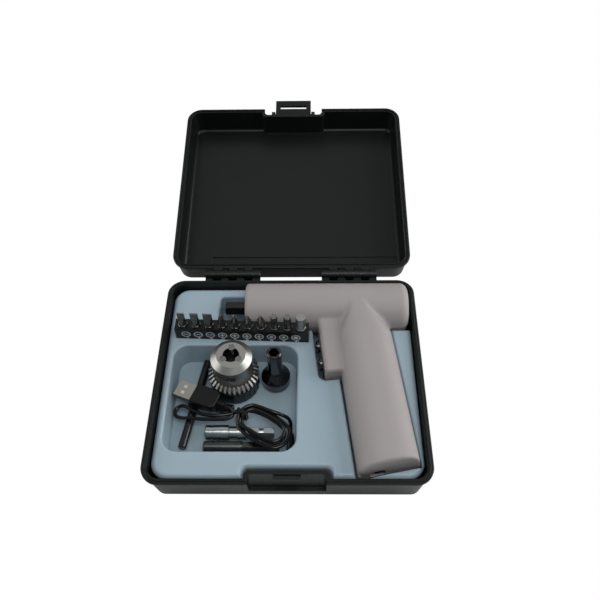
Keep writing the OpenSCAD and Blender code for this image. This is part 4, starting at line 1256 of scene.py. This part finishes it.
@dataclass(frozen=True)
class ChuckNose:
    """The chuck's body, with black painted into its bores as painted shade where the mouth lies in shadow.

    Attributes:
        node: The chuck body's own CAD object.
        materials: The finishes.
        bore_radius: Faces nearer the axis than this are inside the bore, in millimetres.
        hole_radius: Faces that look inwards are inside a hole up to this radius.
        rim: Depth below the mouth at which the black painted shade starts.
        depth: Depth at which it ends.
    """

    node: bpy.types.Object
    materials: MaterialLibrary
    bore_radius: float = 5.7
    hole_radius: float = 8.4
    rim: float = 0.05
    depth: float = 14.1

    def _is_bore(self, face: bpy.types.MeshPolygon, axis: Vector, top: float) -> bool:
        """Says whether a face lies inside a bore.

        Args:
            face: The face.
            axis: A point on the chuck's axis.
            top: Height of the mouth in metres.

        Returns:
            True inside a bore.
        """
        out = (face.center - axis).xy
        radius, depth = out.length / MM, (top - face.center.z) / MM
        inward = out.dot(face.normal.xy) < 0
        near = radius < self.bore_radius or (inward and radius < self.hole_radius)
        return near and self.rim < depth < self.depth

    def build(self) -> list[bpy.types.Object]:
        """Makes the body from the node's own faces, with black painted shade inside its bores.

        Returns:
            The body.
        """
        low, high = (Vector(c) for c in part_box("chuck_body"))
        mesh = bmesh.new()
        mesh.from_mesh(self.node.data)
        body = add_piece("chuck_nose", mesh, self.materials.get(Finish.BRIGHT), "chuck")
        body.data.materials.append(self.materials.get(Finish.INK))
        axis = (low + high) / 2
        # Faces inside the bores take the black material: painted shade that stands in for the shadow in
        # the chuck's mouth.
        for face in body.data.polygons:
            if self._is_bore(face, axis, high.z):
                face.material_index = 1
        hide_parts("chuck_body")
        return [body]


USB_AT: Flat = (-56.5, -13.2)
USB_TURN = math.radians(-22)


def usb_frame(height: float) -> Matrix:
    """Returns the frame of the USB plug, whose X runs from the plug to its cable.

    Args:
        height: Height of the frame's origin in metres.

    Returns:
        The frame's matrix.
    """
    place = Matrix.Translation((USB_AT[0] * MM, USB_AT[1] * MM, height))
    return place @ Matrix.Rotation(USB_TURN, 4, "Z")


@dataclass(frozen=True)
class UsbMould:
    """The moulded grip behind the USB plug, with soft edges and a ribbed strain relief.

    Attributes:
        materials: The finishes.
        outline: Half outline in plan from the plug's end, in millimetres.
        back: Where the outline starts in the plug's frame.
        height: Height of the moulding.
        edge: Radius of its edges.
        relief: Place and radius along the strain relief, which is ribbed.
        sides: Sides of the relief.
    """

    materials: MaterialLibrary
    outline: tuple[Flat, ...] = ((0.0, 6.6), (0.8, 7.4), (15.6, 6.8), (18.0, 4.8))
    back: float = -8.8
    height: float = 7.8
    edge: float = 0.9
    relief: tuple[Flat, ...] = (
        (9.1, 3.0), (9.9, 3.0), (10.1, 2.4), (10.5, 2.4), (10.7, 2.8), (11.3, 2.8), (11.5, 2.2),
        (11.9, 2.2), (12.1, 2.6), (12.7, 2.5), (12.9, 2.0), (13.3, 2.0), (13.5, 2.3), (14.1, 2.0),
    )
    sides: int = 24

    def _add_grip(self, mesh: bmesh.types.BMesh, turn: Matrix) -> None:
        """Adds the flat grip with its softened edges.

        Args:
            mesh: The bmesh.
            turn: The plug's frame.
        """
        outline = [*((x, -y) for x, y in self.outline), *reversed(self.outline)]
        low, high = (
            [mesh.verts.new(turn @ Vector(((self.back + x) * MM, y * MM, z * MM))) for x, y in outline]
            for z in (0.0, self.height)
        )
        mesh.faces.new(low[::-1])
        mesh.faces.new(high)
        bridge(mesh, high, low)
        bmesh.ops.bevel(
            mesh, geom=mesh.edges[:], offset=self.edge * MM, segments=3, profile=0.5, affect="EDGES")

    def _add_relief(self, mesh: bmesh.types.BMesh, turn: Matrix) -> None:
        """Adds the ribbed strain relief.

        Args:
            mesh: The bmesh.
            turn: The plug's frame.
        """
        angles = [math.tau * k / self.sides for k in range(self.sides)]
        rows = [
            [mesh.verts.new(turn @ Vector((
                x * MM, r * MM * math.cos(a), (self.height / 2 + r * math.sin(a)) * MM))) for a in angles]
            for x, r in self.relief
        ]
        for near, far in zip(rows, rows[1:]):
            bridge(mesh, near, far)
        mesh.faces.new(rows[0])
        mesh.faces.new(rows[-1][::-1])

    def build(self) -> list[bpy.types.Object]:
        """Makes the moulding and hides its plainer solid.

        Returns:
            The moulding.
        """
        turn = usb_frame(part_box("usb_body")[0][2])
        mesh = bmesh.new()
        self._add_grip(mesh, turn)
        self._add_relief(mesh, turn)
        mould = add_piece("usb_mould", mesh, self.materials.get(Finish.SOFT), "cable")
        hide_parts("usb_body")
        return [mould]


@dataclass(frozen=True)
class SmallTrim:
    """Hinge ledges of the base and the pale inserts behind the USB shell's windows.

    Attributes:
        materials: The finishes.
        hinges: Place of each ledge along the case, in millimetres.
        ledge_at: Depth and height of the ledges.
        ledge_size: Their sizes.
        windows: Place of each insert across the plug.
        window_at: Place of the inserts along the plug, and their height from its top.
        window_size: Their sizes.
    """

    materials: MaterialLibrary
    hinges: Flat = (-43.4, 43.4)
    ledge_at: Flat = (82.2, 27.7)
    ledge_size: Point = (40.8, 7.6, 1.0)
    windows: Flat = (-2.3, 2.3)
    window_at: Flat = (-15.9, -0.35)
    window_size: Point = (2.2, 2.2, 0.4)

    def build(self) -> list[bpy.types.Object]:
        """Makes both hinge ledges and the two window inserts.

        Returns:
            The ledges and the inserts.
        """
        made = []
        for name, middle in zip(("hinge_ledge_left", "hinge_ledge_right"), self.hinges):
            mesh = bmesh.new()
            add_block(mesh, Matrix.Identity(4), (middle, *self.ledge_at), self.ledge_size)
            made.append(add_piece(name, mesh, self.materials.get(Finish.CASE), "case"))
        mesh = bmesh.new()
        along, below = self.window_at
        for side in self.windows:
            add_block(mesh, usb_frame(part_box("usb_shell")[1][2]), (along, side, below), self.window_size)
        made.append(add_piece("usb_insert", mesh, self.materials.get(Finish.PRINT), "cable"))
        return made


class Tip(Enum):
    """Kinds of driver tip."""

    SLOT = "slot"
    CROSS = "cross"
    STAR = "star"
    HEXAGON = "hexagon"


SEGMENTS = {
    "0": "abcdef", "1": "bc", "2": "abged", "3": "abgcd", "4": "fgbc", "5": "afgcd", "6": "afgedc",
    "7": "abc", "8": "abcdefg", "9": "abcdfg",
}


@dataclass(frozen=True)
class RackPrint:
    """Pale marks printed on the bit rack's front: a ring with a tip's outline, and a number below it.

    Sizes are millimetres in the rack's own frame.

    Attributes:
        materials: The finishes.
        middle: Origin of the rack's frame in plan.
        turn: Turn of that frame.
        face: Place of the rack's front across the rack.
        lift: How far every second outline stands in front of its neighbour.
        pitch: Distance from bit to bit.
        shift: How far the marks stand to the side of the bits.
        height: Height of the rings above the case's underside.
        ring: Outer and inner radius of a ring.
        ring_sides: Sides of a ring.
        tips: Kind of each bit's tip.
        tip_size: Radius of a tip's outline.
        slot_share: Thickness of a slotted tip as a share of that radius.
        cross_share: Thickness of a cross tip's bars as a share of it.
        star_share: Inner radius of a star as a share of it.
        star_points: Points of a star.
        number_height: Height of the numbers above the case's underside.
        figure: Height of one figure.
        figure_share: Its width as a share of its height.
        stroke_share: Thickness of its strokes as a share of its height.
        figure_step: Distance from figure to figure.
    """

    materials: MaterialLibrary
    middle: Flat = (-33.15, 32.75)
    turn: float = math.radians(-2.44)
    face: float = -4.43
    lift: float = 0.004
    pitch: float = 8.55
    shift: float = -0.6
    height: float = 33.0
    ring: Flat = (3.2, 2.45)
    ring_sides: int = 32
    tips: tuple[Tip, ...] = (*[Tip.SLOT] * 3, *[Tip.CROSS] * 4, *[Tip.STAR] * 2, Tip.HEXAGON)
    tip_size: float = 1.7
    slot_share: float = 0.45
    cross_share: float = 0.55
    star_share: float = 0.62
    star_points: int = 6
    number_height: float = 28.2
    figure: float = 2.2
    figure_share: float = 0.58
    stroke_share: float = 0.26
    figure_step: float = 1.9

    @staticmethod
    def _circle(radius: float, count: int) -> list[Flat]:
        """Returns points on a circle.

        Args:
            radius: The radius.
            count: How many points.
        """
        angles = (math.tau * i / count for i in range(count))
        return [(radius * math.sin(a), radius * math.cos(a)) for a in angles]

    @staticmethod
    def _bar(middle: Flat, width: float, height: float) -> list[Flat]:
        """Returns the corners of a level rectangle.

        Args:
            middle: Its middle.
            width: Its width.
            height: Its height.
        """
        x, z = middle
        corners = ((-1, -1), (1, -1), (1, 1), (-1, 1))
        return [(x + i * width / 2, z + k * height / 2) for i, k in corners]

    def _tip(self, kind: Tip) -> list[list[Flat]]:
        """Returns the outlines that stand for a driver tip.

        Args:
            kind: Kind of tip.
        """
        size, middle = self.tip_size, (0.0, 0.0)
        if kind is Tip.SLOT:
            return [self._bar(middle, 2 * size, self.slot_share * size)]
        if kind is Tip.CROSS:
            thick = self.cross_share * size
            return [self._bar(middle, 2 * size, thick), self._bar(middle, thick, 2 * size)]
        if kind is Tip.STAR:
            reach, ring = (size, self.star_share * size), self._circle(1, 2 * self.star_points)
            return [[(x * reach[i % 2], z * reach[i % 2]) for i, (x, z) in enumerate(ring)]]
        return [self._circle(size, 6)]

    def _digit(self, digit: str, x: float) -> list[list[Flat]]:
        """Returns the strokes of one figure, drawn with seven straight segments.

        Args:
            digit: The figure.
            x: Its middle.
        """
        h = self.figure
        w, t = self.figure_share * h, self.stroke_share * h
        strokes = {
            "a": ((x, h / 2), w, t), "g": ((x, 0), w, t), "d": ((x, -h / 2), w, t),
            "f": ((x - w / 2, h / 4), t, h / 2), "b": ((x + w / 2, h / 4), t, h / 2),
            "e": ((x - w / 2, -h / 4), t, h / 2), "c": ((x + w / 2, -h / 4), t, h / 2),
        }
        return [self._bar(*strokes[s]) for s in SEGMENTS[digit]]

    def _place(self, x: float, y: float, z: float) -> Point:
        """Turns a point on the rack into the row frame, in metres.

        Args:
            x: Along the rack from its middle.
            y: Across it.
            z: Height above the case's underside.

        Returns:
            The point.
        """
        c, s = math.cos(self.turn), math.sin(self.turn)
        return ((self.middle[0] + x * c - y * s) * MM, (self.middle[1] + x * s + y * c) * MM, z * MM)

    def _sheet(self, name: str, outlines: Iterable[Sequence[Flat]]) -> bpy.types.Object:
        """Makes an object from flat outlines on the rack's front.

        Args:
            name: Object name.
            outlines: Outlines as x, z points.

        Returns:
            The new object.
        """
        mesh = bmesh.new()
        for layer, outline in enumerate(outlines):
            depth = self.face - self.lift * (layer % 2)
            mesh.faces.new([mesh.verts.new(self._place(x, depth, z)) for x, z in outline])
        return add_object(name, mesh)

    def _marks(self, first: float) -> list[list[Flat]]:
        """Returns the outlines of all tips and numbers.

        Args:
            first: Place of the first bit's marks along the rack.
        """
        marks: list[list[Flat]] = []
        for i, kind in enumerate(self.tips):
            x, number = first + i * self.pitch, str(i + 1)
            marks += [[(x + u, self.height + v) for u, v in outline] for outline in self._tip(kind)]
            for k, digit in enumerate(number):
                place = x + (k - (len(number) - 1) / 2) * self.figure_step
                strokes = self._digit(digit, place)
                marks += [[(u, self.number_height + v) for u, v in outline] for outline in strokes]
        return marks

    def build(self) -> list[bpy.types.Object]:
        """Makes the rings as one repeated form, and the tips and numbers as another piece.

        Returns:
            The rings, and the tips with their numbers.
        """
        white = self.materials.get(Finish.PRINT)
        first = self.shift - (len(self.tips) - 1) / 2 * self.pitch
        outer, inner = (self._circle(radius, self.ring_sides) for radius in self.ring)
        quads = []
        for i in range(self.ring_sides):
            n = (i + 1) % self.ring_sides
            corners = (outer[i], outer[n], inner[n], inner[i])
            quads.append([(first + x, self.height + z) for x, z in corners])
        rings = self._sheet("rack_rings", quads)
        step = (self.pitch * math.cos(self.turn) * MM, self.pitch * math.sin(self.turn) * MM, 0.0)
        repeat_in_row(rings, len(self.tips), step, white)
        signs = self._sheet("rack_signs", self._marks(first))
        signs.data.materials.append(white)
        for piece in (rings, signs):
            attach(piece, "rack")
        return [rings, signs]


@dataclass(frozen=True)
class NodeFinishes:
    """Finishes of the CAD nodes.

    Attributes:
        nodes: The CAD objects by name.
        materials: The finishes.
    """

    nodes: dict[str, bpy.types.Object]
    materials: MaterialLibrary

    def build(self) -> list[bpy.types.Object]:
        """Gives every CAD node its finish.

        Returns:
            The nodes.
        """
        dressed = []
        for finish, names in NODE_FINISH.items():
            for name in names:
                mesh = self.nodes[name].data
                mesh.materials.clear()
                mesh.materials.append(self.materials.get(finish))
                dressed.append(self.nodes[name])
        missing = set(self.nodes) - {node.name for node in dressed}
        if missing:
            LOG.warning("nodes without a finish: %s", sorted(missing))
        return dressed


def main() -> None:
    """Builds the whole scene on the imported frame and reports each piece."""
    logging.basicConfig(level=logging.INFO, format="%(name)s %(message)s")
    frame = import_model()
    bpy.context.scene.view_settings.view_transform = "Standard"
    Studio(ViewPoint()).build()
    materials, nodes = MaterialLibrary(), frame["nodes"]
    makers = (
        UsbMould(materials), ChargingCable(materials), NodeFinishes(nodes, materials),
        DrillShell(materials), RackPrint(materials), BevelGear(materials),
        ChuckNose(nodes["chuck_body"], materials), SmallTrim(materials),
    )
    for maker in makers:
        for piece in maker.build():
            LOG.info("%s: %s", type(maker).__name__, piece.name)


if __name__ == "__main__":
    main()
